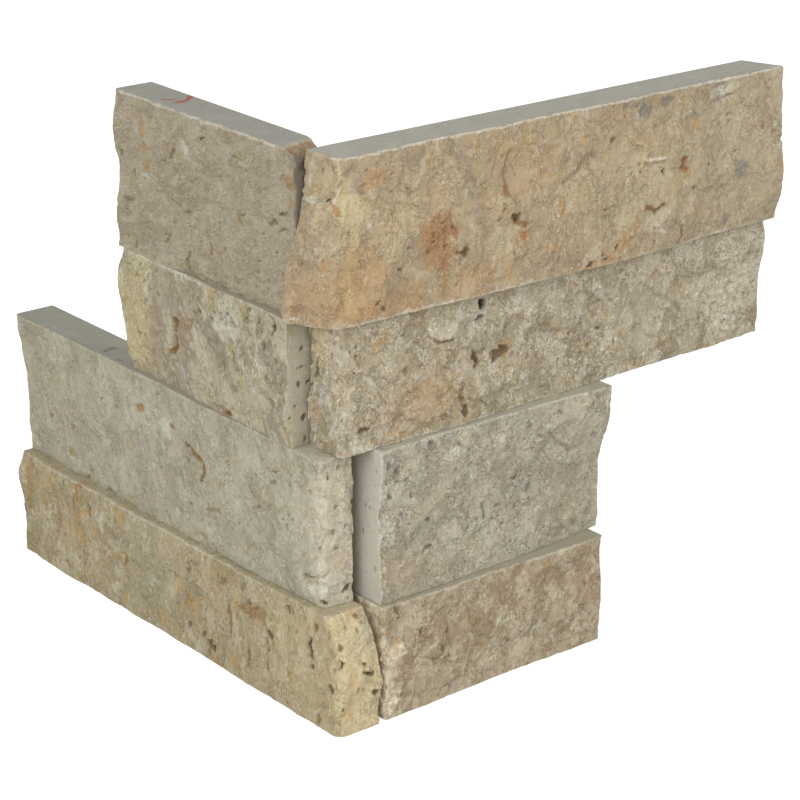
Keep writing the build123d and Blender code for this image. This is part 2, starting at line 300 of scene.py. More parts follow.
def buildStrip(spec):
    probe = StoneProbe(spec["node"], spec["leg"])
    splitEnd = spec["splitEnd"]
    grid = wallGrid(probe, splitEnd)
    rowCount, loopCount = grid["s"].shape
    first, last = grid["start"][:, -1:], grid["end"][:, -1:]
    depth0, depth1 = grid["face"][:, :1], grid["face"][:, -1:]
    isStart, isEnd = grid["part"] == 3, grid["part"] == 1
    caps = {row: capPoints(grid, row, spec) for row in (0, rowCount - 1)}

    # unrolled place: s on the face, carried on round both corners
    a = np.where(isStart, first - (depth0 - grid["d"]),
                 np.where(isEnd, last + (depth1 - grid["d"]), np.clip(grid["s"], first, last)))
    thick = np.where(isStart, depth0, np.where(isEnd, depth1, 1))
    w = np.where(grid["part"] == 0, 1, np.clip(grid["d"] / thick, 0, 1))
    fromEnd = np.where(isStart, 0, np.where(grid["part"] == 0, grid["s"] - first, 99))
    lowered, capLowered = grid["s"] * 0, {row: np.zeros(len(inner)) for row, inner in caps.items()}
    if spec.get("broken"):
        lowered, capLowered[rowCount - 1] = breakArris(probe, grid, rowCount - 1, caps[rowCount - 1])
    s, d, z = grid["s"].ravel(), grid["d"].ravel(), grid["z"].ravel()
    a, w, fromEnd, lowered = a.ravel(), w.ravel(), fromEnd.ravel(), lowered.ravel()
    part = np.tile(grid["part"], rowCount)

    # caps share the outline of the first and last rows
    faces = []
    index = np.arange(rowCount * loopCount).reshape(rowCount, loopCount)
    here, beside = index[:-1], np.roll(index, -1, axis=1)[:-1]
    above, aboveBeside = index[1:], np.roll(index, -1, axis=1)[1:]
    walls = np.stack([here, beside, aboveBeside, above], axis=-1).reshape(-1, 4)
    wallPart = np.tile(grid["part"], rowCount - 1)
    for row, inner in caps.items():
        loop = [Vector((x, -y)) for x, y in zip(grid["s"][row], grid["d"][row])]
        inside = [Vector((x, -y)) for x, y in inner]
        ring = [(k, (k + 1) % loopCount) for k in range(loopCount)]
        result = delaunay_2d_cdt(loop + inside, ring, [], 1, 1e-7)
        renamed = {new: index[row, old[0]] if old[0] < loopCount else len(s) + old[0] - loopCount
                   for new, old in enumerate(result[3])}
        triangles = [[renamed[v] for v in face] for face in result[2]]
        faces += [t if row else t[::-1] for t in triangles]
        depth = np.interp(inner[:, 0], grid["faceS"][row], grid["face"][row])
        s, d = np.append(s, inner[:, 0]), np.append(d, inner[:, 1])
        z = np.append(z, grid["z"][row].max() - capLowered[row])
        a, w = np.append(a, inner[:, 0]), np.append(w, inner[:, 1] / depth)
        nearStart = np.interp(inner[:, 1], grid["depthSteps"] * depth0[row], grid["start"][row])
        fromEnd = np.append(fromEnd, inner[:, 0] - nearStart)
        lowered = np.append(lowered, capLowered[row])
        part = np.append(part, np.full(len(inner), 5 if row else 4))
    rows = grid["z"].max(axis=1)
    lineStart, lineEnd = np.interp(z, rows, first[:, 0]), np.interp(z, rows, last[:, 0])
    lineDepth, farDepth = np.interp(z, rows, depth0[:, 0]), np.interp(z, rows, depth1[:, 0])
    isFace, isStart, isEnd = part == 0, part == 3, part == 1
    flat = z * 0

    # both upright arrises are rounded, the split corner most
    seed, wear, slip = spec["seed"], spec["wear"], surface["edgeSlip"]
    onFace = isFace | (part > 3)
    for inward, (least, most), border, borderDepth, isSide in (
            (1, wear["corner"], lineStart, lineDepth, isStart),
            (-1, wear["farEnd"], lineEnd, farDepth, isEnd)):
        radius = least + (most - least) * (0.5 + 0.5 * softNoise(z, flat + 9 * inward, 4.5, seed + 4))
        x = (s - border) * inward
        y = borderDepth - d
        turned = onFace & (x < radius) & (w > 0.4)
        sideTurned = isSide & (y < radius)
        s = np.where(turned, s + inward * slip * (radius - x) * (part < 4), s)
        d = np.where(turned, d - arrisFall(x, radius) * np.where(part > 3, w ** 6, 1), d)
        s = np.where(sideTurned, s + inward * arrisFall(y, radius), s)
        d = np.where(sideTurned, d - slip * (radius - y), d)

    # listed relief: the top and bed arrises, then each mark in turn
    ragged = (0.5 + 0.5 * softNoise(a, flat, 4.1, seed)) * (0.75 + 0.25 * softNoise(a, flat, 1.3, seed + 1))
    chip = smoothStep(0.45, 1, softNoise(a, flat + 50, 7.0, seed + 2))
    topRadius = wear["least"] + wear["top"] * ragged + wear["chips"] * chip
    chip = smoothStep(0.45, 1, softNoise(a, flat + 90, 6.0, seed + 3))
    bedRadius = wear["least"] + wear["bed"] * ragged + 0.5 * wear["chips"] * chip
    height = -edgeWear(np.where(part == 5, 0, probe.top - z - lowered), topRadius)
    height -= edgeWear(z - probe.bed, bedRadius)

    tint = np.zeros((len(s), 4))

    def colourOver(mask, colour):
        m = mask[:, None]
        alpha = tint[:, 3:] * (1 - m) + m
        rgb = tint[:, :3] * tint[:, 3:] * (1 - m) + np.array(linear(colour)[:3]) * m
        tint[:] = np.hstack([rgb / np.maximum(alpha, 1e-6), alpha])

    through = lineDepth + a - lineStart  # on the corner end this is d
    onTop = np.where(part == 5, d, -99)
    markSeed = seed * 100
    for kind, x, y in (("marks", a, z), ("endMarks", through, z), ("topMarks", s, onTop)):
        for mark in spec.get(kind, []):
            markSeed += 2
            deep, colour, strength = mark[-3:]
            mask = markMask(x, y, mark, markSeed)
            if kind != "topMarks":
                mask = mask * (part < 4) * (part != 2)
            if kind == "endMarks" and not splitEnd:
                mask = mask * (1 - smoothStep(-0.3, 0.6, through - lineDepth))
            height -= deep * mask
            if colour:
                colourOver(mask * strength, colour)
    crystalline = flat.copy()
    for mark in spec.get("crystals", []):
        crystalline = np.maximum(crystalline, markMask(a, z, mark, seed + 7))

    # a broken arris is rough, and browner than the sawn stone round it
    broken = smoothStep(0.1, 0.5, lowered) * (part > 3)
    z = z - broken * 0.45 * (0.5 + 0.5 * softNoise(s, d, 1.4, seed + 8))
    z = z - broken * 0.3 * softNoise(s, d, 3.3, seed + 9)
    if spec.get("broken"):
        browner = smoothStep(0.1, 0.6, lowered) * (part > 3)
        colourOver(browner * (0.5 + 0.3 * softNoise(s, d, 1.8, seed + 6)), spec["broken"])

    # where the face and a split end move outwards
    faceShare = w ** 3
    endShare = np.clip(1 - fromEnd / surface["endFade"], 0, 1) ** 3
    d = d + faceShare * height
    s = s - endShare * height * (1 if splitEnd else 0.8 * isStart)
    endShare = endShare * splitEnd

    points = np.array([toWorld(spec["leg"], *p) for p in np.stack([s, d, z], axis=1)])
    # with less relief beside the sawn top and bed and at the far end
    even = np.minimum(np.minimum(probe.top - z, z - probe.bed), lineEnd - s + 0.5)
    even = surface["evenLeast"] + (1 - surface["evenLeast"]) * smoothStep(0, surface["evenReach"], even)
    outward = np.stack([-endShare * even, faceShare * even, flat], axis=1)
    outward = np.array([toWorld(spec["leg"], *p) for p in outward])
    mesh = bpy.data.meshes.new(spec["label"])
    polygons = walls.tolist() + faces
    if spec["leg"] == "left":
        polygons = [p[::-1] for p in polygons]
    mesh.from_pydata(points * mm, [], polygons)

    sawnParts = (1, 2) if splitEnd else (1, 2, 3)
    roughEdge = spec.get("roughTop", -99)  # the top is broken rough up to this s

    def isSawn(face):
        whole = max(lowered[v] for v in face) < 0.15
        return whole and (z[face[0]] < probe.top - 1 or min(s[v] for v in face) > roughEdge)

    wornTop = np.clip(1 - (probe.top - z) / (topRadius + 0.6), 0, 1)
    wornBed = np.clip(1 - (z - probe.bed) / (bedRadius + 0.5), 0, 1)
    sawn = np.append(np.isin(wallPart, sawnParts), [isSawn(face) for face in faces])
    for name, kind, domain, slot, values in (
            ("unrolled", "FLOAT_VECTOR", "POINT", "vector", np.stack([a, z, flat], axis=1)),
            ("outward", "FLOAT_VECTOR", "POINT", "vector", outward),
            ("crystalline", "FLOAT", "POINT", "value", crystalline),
            ("tint", "FLOAT_COLOR", "POINT", "color", tint),
            ("wornTop", "FLOAT", "POINT", "value", wornTop),
            ("wornBed", "FLOAT", "POINT", "value", wornBed),
            ("sawn", "FLOAT", "FACE", "value", sawn)):
        mesh.attributes.new(name, kind, domain).data.foreach_set(slot, np.asarray(values, float).ravel())
    mesh.validate()
    print(spec["label"], "shaped,", len(mesh.polygons), "faces")
    return mesh


# The relief that splitting leaves, as one tree of Geometry Nodes for every strip

def splitReliefTree():
    tree = bpy.data.node_groups.new("splitRelief", "GeometryNodeTree")
    tree.interface.new_socket(name="Stone", in_out="INPUT", socket_type="NodeSocketGeometry")
    for name in ("Lump height", "Lump size", "Flake height", "Flake size", "Grain height", "Grain size",
                 "Pit depth", "Pit spacing", "Pit share", "Pit stretch", "Crystal height", "Crystal size"):
        tree.interface.new_socket(name=name, in_out="INPUT", socket_type="NodeSocketFloat")
    tree.interface.new_socket(name="Seed", in_out="INPUT", socket_type="NodeSocketInt")
    tree.interface.new_socket(name="Finish", in_out="INPUT", socket_type="NodeSocketMaterial")
    tree.interface.new_socket(name="Stone", in_out="OUTPUT", socket_type="NodeSocketGeometry")
    given = addNode(tree, "NodeGroupInput", {}).outputs

    outward = addNode(tree, "GeometryNodeInputNamedAttribute", {"Name": "outward"}, data_type="FLOAT_VECTOR")
    place = addNode(tree, "GeometryNodeInputNamedAttribute", {"Name": "unrolled"}, data_type="FLOAT_VECTOR")
    away = addNode(tree, "ShaderNodeMath", {"Value": given["Seed"], "Value_001": 13.7}, operation="MULTIPLY")
    away = addNode(tree, "ShaderNodeCombineXYZ", {"Z": away})
    place = addNode(tree, "ShaderNodeVectorMath", {"Vector": place, "Vector_001": away}, operation="ADD")

    # lumps, flakes and grain: noise of three sizes, of which the flakes are cut into terraces
    total = 0.0
    for name, detail, roughness, distortion in (("Lump", 2.0, 0.5, 0.3), ("Flake", 1.5, 0.5, 0.9),
                                                ("Grain", 3.0, 0.62, 0.0)):
        scale = addNode(tree, "ShaderNodeMath", {"Value": 1.0, "Value_001": given[name + " size"]},
                        operation="DIVIDE")
        level = addNode(tree, "ShaderNodeTexNoise", {
            "Vector": place, "Scale": scale, "Detail": detail, "Roughness": roughness, "Distortion": distortion})
        if name == "Flake":
            steps = addNode(tree, "ShaderNodeMath", {"Value": level, "Value_001": 7.0}, operation="MULTIPLY")
            rest = addNode(tree, "ShaderNodeMath", {"Value": steps}, operation="FRACT")
            riser = addNode(tree, "ShaderNodeMapRange", {"Value": rest, "From Min": 0.8},
                            interpolation_type="SMOOTHSTEP")
            tread = addNode(tree, "ShaderNodeMath", {"Value": steps}, operation="FLOOR")
            level = addNode(tree, "ShaderNodeMath", {"Value": tread, "Value_001": riser}, operation="ADD")
            level = addNode(tree, "ShaderNodeMath", {"Value": level, "Value_001": 7.0}, operation="DIVIDE")
        swing = addNode(tree, "ShaderNodeMath", {"Value": level, "Value_001": 0.5}, operation="SUBTRACT")
        if name == "Grain":
            # some patches broke smooth and others rough
            rough = addNode(tree, "ShaderNodeTexNoise", {"Vector": place, "Scale": 0.16, "Detail": 2.0})
            rough = addNode(tree, "ShaderNodeMapRange", {
                "Value": rough, "From Min": 0.40, "From Max": 0.60, "To Min": 0.15, "To Max": 1.5})
            swing = addNode(tree, "ShaderNodeMath", {"Value": swing, "Value_001": rough}, operation="MULTIPLY")
        reach = addNode(tree, "ShaderNodeMath", {"Value": given[name + " height"], "Value_001": 2.0},
                        operation="MULTIPLY")
        total = addNode(tree, "ShaderNodeMath", {"Value": swing, "Value_001": reach, "Value_002": total},
                        operation="MULTIPLY_ADD")

    # pits: cells of a bent and stretched plane pattern, in clusters, each pit of its own size
    bend = addNode(tree, "ShaderNodeTexNoise", {"Vector": place, "Scale": 0.55, "Detail": 2.0}).outputs["Color"]
    bend = addNode(tree, "ShaderNodeVectorMath", {"Vector": bend, "Scale": 2.6}, operation="SCALE")
    bent = addNode(tree, "ShaderNodeVectorMath", {"Vector": place, "Vector_001": bend}, operation="ADD")
    stretch = addNode(tree, "ShaderNodeCombineXYZ", {"X": 1.0, "Y": given["Pit stretch"], "Z": 1.0})
    bent = addNode(tree, "ShaderNodeVectorMath", {"Vector": bent, "Vector_001": stretch}, operation="MULTIPLY")
    scale = addNode(tree, "ShaderNodeMath", {"Value": 1.0, "Value_001": given["Pit spacing"]}, operation="DIVIDE")
    cells = addNode(tree, "ShaderNodeTexVoronoi", {"Vector": bent, "Scale": scale}, voronoi_dimensions="2D")
    lot = addNode(tree, "ShaderNodeSeparateXYZ", {"Vector": cells.outputs["Color"]})
    size = addNode(tree, "ShaderNodeMath", {"Value": lot.outputs["Y"], "Value_001": 2.2}, operation="POWER")
    size = addNode(tree, "ShaderNodeMath", {"Value": size, "Value_001": 0.30, "Value_002": 0.07},
                   operation="MULTIPLY_ADD")
    near = addNode(tree, "ShaderNodeMath", {"Value": cells.outputs["Distance"], "Value_001": size},
                   operation="DIVIDE")
    hollow = addNode(tree, "ShaderNodeMapRange", {"Value": near, "From Min": 1.0, "From Max": 0.45},
                     interpolation_type="SMOOTHSTEP")
    crowd = addNode(tree, "ShaderNodeTexNoise", {"Vector": place, "Scale": 0.09, "Detail": 2.0})
    crowd = addNode(tree, "ShaderNodeMapRange", {"Value": crowd, "From Min": 0.42, "From Max": 0.62,
                                                 "To Max": 2.0})
    share = addNode(tree, "ShaderNodeMath", {"Value": crowd, "Value_001": given["Pit share"]},
                    operation="MULTIPLY")
    chosen = addNode(tree, "ShaderNodeMath", {"Value": lot.outputs["X"], "Value_001": share},
                     operation="LESS_THAN")
    pore = addNode(tree, "ShaderNodeMath", {"Value": hollow, "Value_001": chosen}, operation="MULTIPLY")
    split = addNode(tree, "ShaderNodeVectorMath", {"Vector": outward}, operation="LENGTH")
    pore = addNode(tree, "ShaderNodeMath", {"Value": pore, "Value_001": split}, operation="MULTIPLY")
    depth = addNode(tree, "ShaderNodeMath", {"Value": given["Pit depth"], "Value_001": -1.0},
                    operation="MULTIPLY")
    total = addNode(tree, "ShaderNodeMath", {"Value": pore, "Value_001": depth, "Value_002": total},
                    operation="MULTIPLY_ADD")

    # a patch of coarse crystals, where the strip has one
    crystalline = addNode(tree, "GeometryNodeInputNamedAttribute", {"Name": "crystalline"}, data_type="FLOAT")
    scale = addNode(tree, "ShaderNodeMath", {"Value": 1.0, "Value_001": given["Crystal size"]},
                    operation="DIVIDE")
    crystals = addNode(tree, "ShaderNodeTexVoronoi", {"Vector": place, "Scale": scale}, voronoi_dimensions="2D")
    crystal = addNode(tree, "ShaderNodeMath", {"Value": 0.45, "Value_001": crystals.outputs["Distance"]},
                      operation="SUBTRACT")
    reach = addNode(tree, "ShaderNodeMath", {"Value": crystalline, "Value_001": given["Crystal height"]},
                    operation="MULTIPLY")
    total = addNode(tree, "ShaderNodeMath", {"Value": crystal, "Value_001": reach, "Value_002": total},
                    operation="MULTIPLY_ADD")

    length = addNode(tree, "ShaderNodeMath", {"Value": total, "Value_001": mm}, operation="MULTIPLY")
    offset = addNode(tree, "ShaderNodeVectorMath", {"Vector": outward, "Scale": length}, operation="SCALE")
    moved = addNode(tree, "GeometryNodeSetPosition", {"Geometry": given["Stone"], "Offset": offset})
    marked = addNode(tree, "GeometryNodeStoreNamedAttribute",
                     {"Geometry": moved, "Name": "pore", "Value": pore}, data_type="FLOAT", domain="POINT")
    real = addNode(tree, "GeometryNodeRealizeInstances", {"Geometry": marked})
    finished = addNode(tree, "GeometryNodeSetMaterial", {"Geometry": real, "Material": given["Finish"]})
    addNode(tree, "NodeGroupOutput", {"Stone": finished})
    return tree


splitRelief = splitReliefTree()


def carveRelief(mesh, spec, finish):
    piece = bpy.data.objects.new(spec["label"], mesh)
    bpy.context.scene.collection.objects.link(piece)
    modifier = piece.modifiers.new("relief", "NODES")
    modifier.node_group = splitRelief
    values = dict(spec["relief"], Seed=spec["seed"], Finish=finish)
    for item in splitRelief.interface.items_tree:
        if item.in_out == "INPUT" and item.name in values:
            modifier[item.identifier] = values[item.name]
    graph = bpy.context.evaluated_depsgraph_get()
    carved = bpy.data.meshes.new_from_object(piece.evaluated_get(graph))
    piece.modifiers.clear()
    piece.data = carved
    for name in ("unrolled", "outward", "crystalline"):
        carved.attributes.remove(carved.attributes[name])
    carved.shade_smooth()
    carved.set_sharp_from_angle(angle=radians(60))
    sawn = np.zeros(len(carved.polygons), np.float32)
    carved.attributes["sawn"].data.foreach_get("value", sawn)
    carved.polygons.foreach_set("use_smooth", sawn < 0.5)
    return piece


# Split and sawn travertine: matt calcite with small pores. The split face scatters light off broken
# crystals, with clouds and specks of cream, tan and grey in it, and the sawn sides are smoother and greyer.

def travertine(name, look, leg):
    material = bpy.data.materials.new(name)
    material.use_nodes = True
    tree = material.node_tree
    tree.nodes.clear()
    place = addNode(tree, "ShaderNodeTexCoord", {}).outputs["Object"]
    # streaks lean from upright by lean degrees, as seen from in front of the leg
    lean = radians(look["lean"])
    streaked = addNode(tree, "ShaderNodeMapping", {
        "Vector": place, "Rotation": (0, lean, 0) if leg == "right" else (lean, 0, 0),
        "Scale": (1, 1, look["stretch"])}, vector_type="TEXTURE")
    # clouds, bands and specks one over the other, each where its own noise is between low and high
    colour = linear(look["base"])
    for number, (hexColour, size, low, high, strength, *gather) in enumerate(look["clouds"]):
        away = (0.031 * number, 0.017 * number, 0.023 * number)
        vector = addNode(tree, "ShaderNodeVectorMath", {"Vector": streaked, "Vector_001": away}, operation="ADD")
        field = addNode(tree, "ShaderNodeTexNoise", {
            "Vector": vector, "Scale": 1 / (size * mm), "Detail": 4.0, "Roughness": 0.65, "Distortion": 0.3})
        share = addNode(tree, "ShaderNodeMapRange", {
            "Value": field, "From Min": low, "From Max": high, "To Max": strength},
            interpolation_type="SMOOTHSTEP")
        if gather:
            # specks that come in swarms of about this size
            swarm = addNode(tree, "ShaderNodeTexNoise", {
                "Vector": vector, "Scale": 1 / (gather[0] * mm), "Detail": 3.0, "Roughness": 0.6})
            swarm = addNode(tree, "ShaderNodeMapRange", {"Value": swarm, "From Min": 0.47, "From Max": 0.6})
            share = addNode(tree, "ShaderNodeMath", {"Value": share, "Value_001": swarm}, operation="MULTIPLY")
        colour = addNode(tree, "ShaderNodeMix", {"Factor": share, "A": colour, "B": linear(hexColour)},
                         data_type="RGBA")
    # listed stains and patches, under the grain
    # the tint also holds painted shade and painted light on some sawn ends at the corner
    tint = addNode(tree, "ShaderNodeAttribute", {}, attribute_name="tint").outputs
    colour = addNode(tree, "ShaderNodeMix", {"Factor": tint["Alpha"], "A": colour, "B": tint["Color"]},
                     data_type="RGBA")
    # arrises bruised white, more in some places than in others
    bruising = addNode(tree, "ShaderNodeTexNoise", {
        "Vector": place, "Scale": 1 / (2.2 * mm), "Detail": 3.0, "Roughness": 0.6})
    for arris, bruise in (("wornTop", look["topBruise"]), ("wornBed", look["bedBruise"])):
        worn = addNode(tree, "ShaderNodeAttribute", {}, attribute_name=arris).outputs["Fac"]
        worn = addNode(tree, "ShaderNodeMath", {
            "Value": bruising, "Value_001": 0.8, "Value_002": worn}, operation="MULTIPLY_ADD")
        worn = addNode(tree, "ShaderNodeMapRange", {
            "Value": worn, "From Min": 0.65, "From Max": 1.1, "To Max": bruise}, interpolation_type="SMOOTHSTEP")
        colour = addNode(tree, "ShaderNodeMix", {"Factor": worn, "A": colour, "B": linear(look["pale"])},
                         data_type="RGBA")
    # sawn sides, which the saw has left smoother and greyer
    sawn = addNode(tree, "ShaderNodeAttribute", {}, attribute_name="sawn").outputs["Fac"]
    dust = addNode(tree, "ShaderNodeTexNoise", {
        "Vector": place, "Scale": 1 / (9 * mm), "Detail": 4.0, "Roughness": 0.6})
    dust = addNode(tree, "ShaderNodeMapRange", {"Value": dust, "From Min": 0.3, "From Max": 0.7})
    smooth = addNode(tree, "ShaderNodeMix", {
        "Factor": dust, "A": linear(look["sawn"]), "B": linear(look["sawnCloud"])}, data_type="RGBA")
    smooth = addNode(tree, "ShaderNodeMix", {"Factor": tint["Alpha"], "A": smooth, "B": tint["Color"]},
                     data_type="RGBA")
    colour = addNode(tree, "ShaderNodeMix", {"Factor": sawn, "A": colour, "B": smooth}, data_type="RGBA")
    # crystals under 1 mm across, in patches: the light ones are whiter, the dark ones browner
    patches = addNode(tree, "ShaderNodeTexNoise", {
        "Vector": streaked, "Scale": 1 / (6 * mm), "Detail": 3.0, "Roughness": 0.6})
    patches = addNode(tree, "ShaderNodeMapRange", {
        "Value": patches, "From Min": 0.42, "From Max": 0.56, "To Min": 0.35}, interpolation_type="SMOOTHSTEP")
    calm = addNode(tree, "ShaderNodeMapRange", {"Value": sawn, "To Min": 1.0, "To Max": 0.35})
    patches = addNode(tree, "ShaderNodeMath", {"Value": patches, "Value_001": calm}, operation="MULTIPLY")
    for size, contrast in ((look["grainSize"], look["contrast"]), (look["grainSize"] * 3, look["contrast"] * 0.5)):
        grains = addNode(tree, "ShaderNodeTexNoise", {
            "Vector": streaked, "Scale": 1 / (size * mm), "Detail": 3.0, "Roughness": 0.7})
        grains = addNode(tree, "ShaderNodeMapRange", {"Value": grains, "From Min": 0.3, "From Max": 0.7})
        grains = addNode(tree, "ShaderNodeMix", {
            "Factor": grains, "A": [1 - contrast * k for k in (0.85, 1, 1.5)] + [1],
            "B": [1 + contrast * k for k in (0.85, 1, 1.5)] + [1]}, data_type="RGBA")
        colour = addNode(tree, "ShaderNodeMix", {"Factor": patches, "A": colour, "B": grains},
                         data_type="RGBA", blend_type="MULTIPLY")
    # pores too small for the mesh, and those that it has, darkened by one colour: painted shade in the hollows,
    # and the dirt in them
    cells = addNode(tree, "ShaderNodeTexVoronoi", {"Vector": streaked, "Scale": 1 / (look["poreSpacing"] * mm)})
    lot = addNode(tree, "ShaderNodeSeparateXYZ", {"Vector": cells.outputs["Color"]})
    reach = addNode(tree, "ShaderNodeMath", {
        "Value": lot.outputs["Y"], "Value_001": look["poreSize"]}, operation="MULTIPLY")
    inside = addNode(tree, "ShaderNodeMath", {"Value": reach, "Value_001": cells.outputs["Distance"]},
                     operation="SUBTRACT")
    inside = addNode(tree, "ShaderNodeMapRange", {"Value": inside, "From Max": 0.08},
                     interpolation_type="SMOOTHSTEP")
    chosen = addNode(tree, "ShaderNodeMath", {"Value": lot.outputs["X"], "Value_001": look["poreShare"]},
                     operation="LESS_THAN")
    small = addNode(tree, "ShaderNodeMath", {"Value": inside, "Value_001": chosen}, operation="MULTIPLY")
    carved = addNode(tree, "ShaderNodeAttribute", {}, attribute_name="pore").outputs["Fac"]
    hollow = addNode(tree, "ShaderNodeMath", {"Value": small, "Value_001": carved}, operation="MAXIMUM")
    dirt = addNode(tree, "ShaderNodeMath", {"Value": hollow, "Value_001": look["dirt"]}, operation="MULTIPLY")
    colour = addNode(tree, "ShaderNodeMix", {"Factor": dirt, "A": colour, "B": linear(look["pore"])},
                     data_type="RGBA")

    rough = addNode(tree, "ShaderNodeMapRange", {"Value": sawn, "To Min": 0.88, "To Max": 0.62})
    fine = addNode(tree, "ShaderNodeTexNoise", {
        "Vector": place, "Scale": 1 / (0.6 * mm), "Detail": 3.0, "Roughness": 0.65})
    fine = addNode(tree, "ShaderNodeMath", {"Value": hollow, "Value_001": -0.6, "Value_002": fine},
                   operation="MULTIPLY_ADD")
    relief = addNode(tree, "ShaderNodeMath", {"Value": fine, "Value_001": patches}, operation="MULTIPLY")
    bump = addNode(tree, "ShaderNodeBump", {
        "Strength": look["bump"], "Distance": 0.4 * mm, "Height": relief})
    shader = addNode(tree, "ShaderNodeBsdfPrincipled", {
        "Base Color": colour, "Roughness": rough, "Normal": bump, "IOR": 1.49})
    addNode(tree, "ShaderNodeOutputMaterial", {"Surface": shader})
    return material


def placeStrip(spec):
    finish = travertine(spec["finish"], spec["look"], spec["leg"])
    piece = carveRelief(buildStrip(spec), spec, finish)
    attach(piece, "root")
    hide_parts(spec["node"])
    print(spec["label"], "done")


commonLook = {
    "lean": 0, "stretch": 1.0, "grainSize": 0.45, "contrast": 0.42, "bump": 1.0,
    # the darkening of pores is painted shade in them, and their dirt
    "poreSpacing": 1.9, "poreSize": 0.26, "poreShare": 0.16, "dirt": 0.5, "pore": "#6a5538",
    "topBruise": 0.2, "bedBruise": 0.2, "sawn": "#a5a396", "sawnCloud": "#9a988a",
}
commonRelief = {
    "Lump height": 0.65, "Lump size": 9.0, "Flake height": 1.6, "Flake size": 9.0, "Grain height": 0.32,
    "Grain size": 1.7, "Pit depth": 0.5, "Pit spacing": 2.6, "Pit share": 0.05, "Pit stretch": 1.3,
    "Crystal height": 0.0, "Crystal size": 2.0,
}
commonWear = {"least": 0.12, "top": 0.4, "bed": 0.14, "chips": 0.4, "corner": (1.4, 3.2), "farEnd": (0.3, 1.1)}
sawnWear = dict(commonWear, corner=(0.2, 0.8))  # for strips whose end at the corner is sawn

# Every mark ends in how deep it is in mm, its colour and how strong that is. A spot begins
# s, z, long, high, turn, softness and a line begins [points], width, softness. endMarks lie on
# the corner end and count d in place of s, and topMarks lie on the top and count s and d. The
# order of a strip's marks sets their seeds.

def alike(soft, deep, colour, strength, *shapes):
    # marks in a row that share their look: a spot is s, z, long, high and its turn if it has one
    return [shape + (0,) * (len(shape) == 4) + (soft, deep, colour, strength) for shape in shapes]


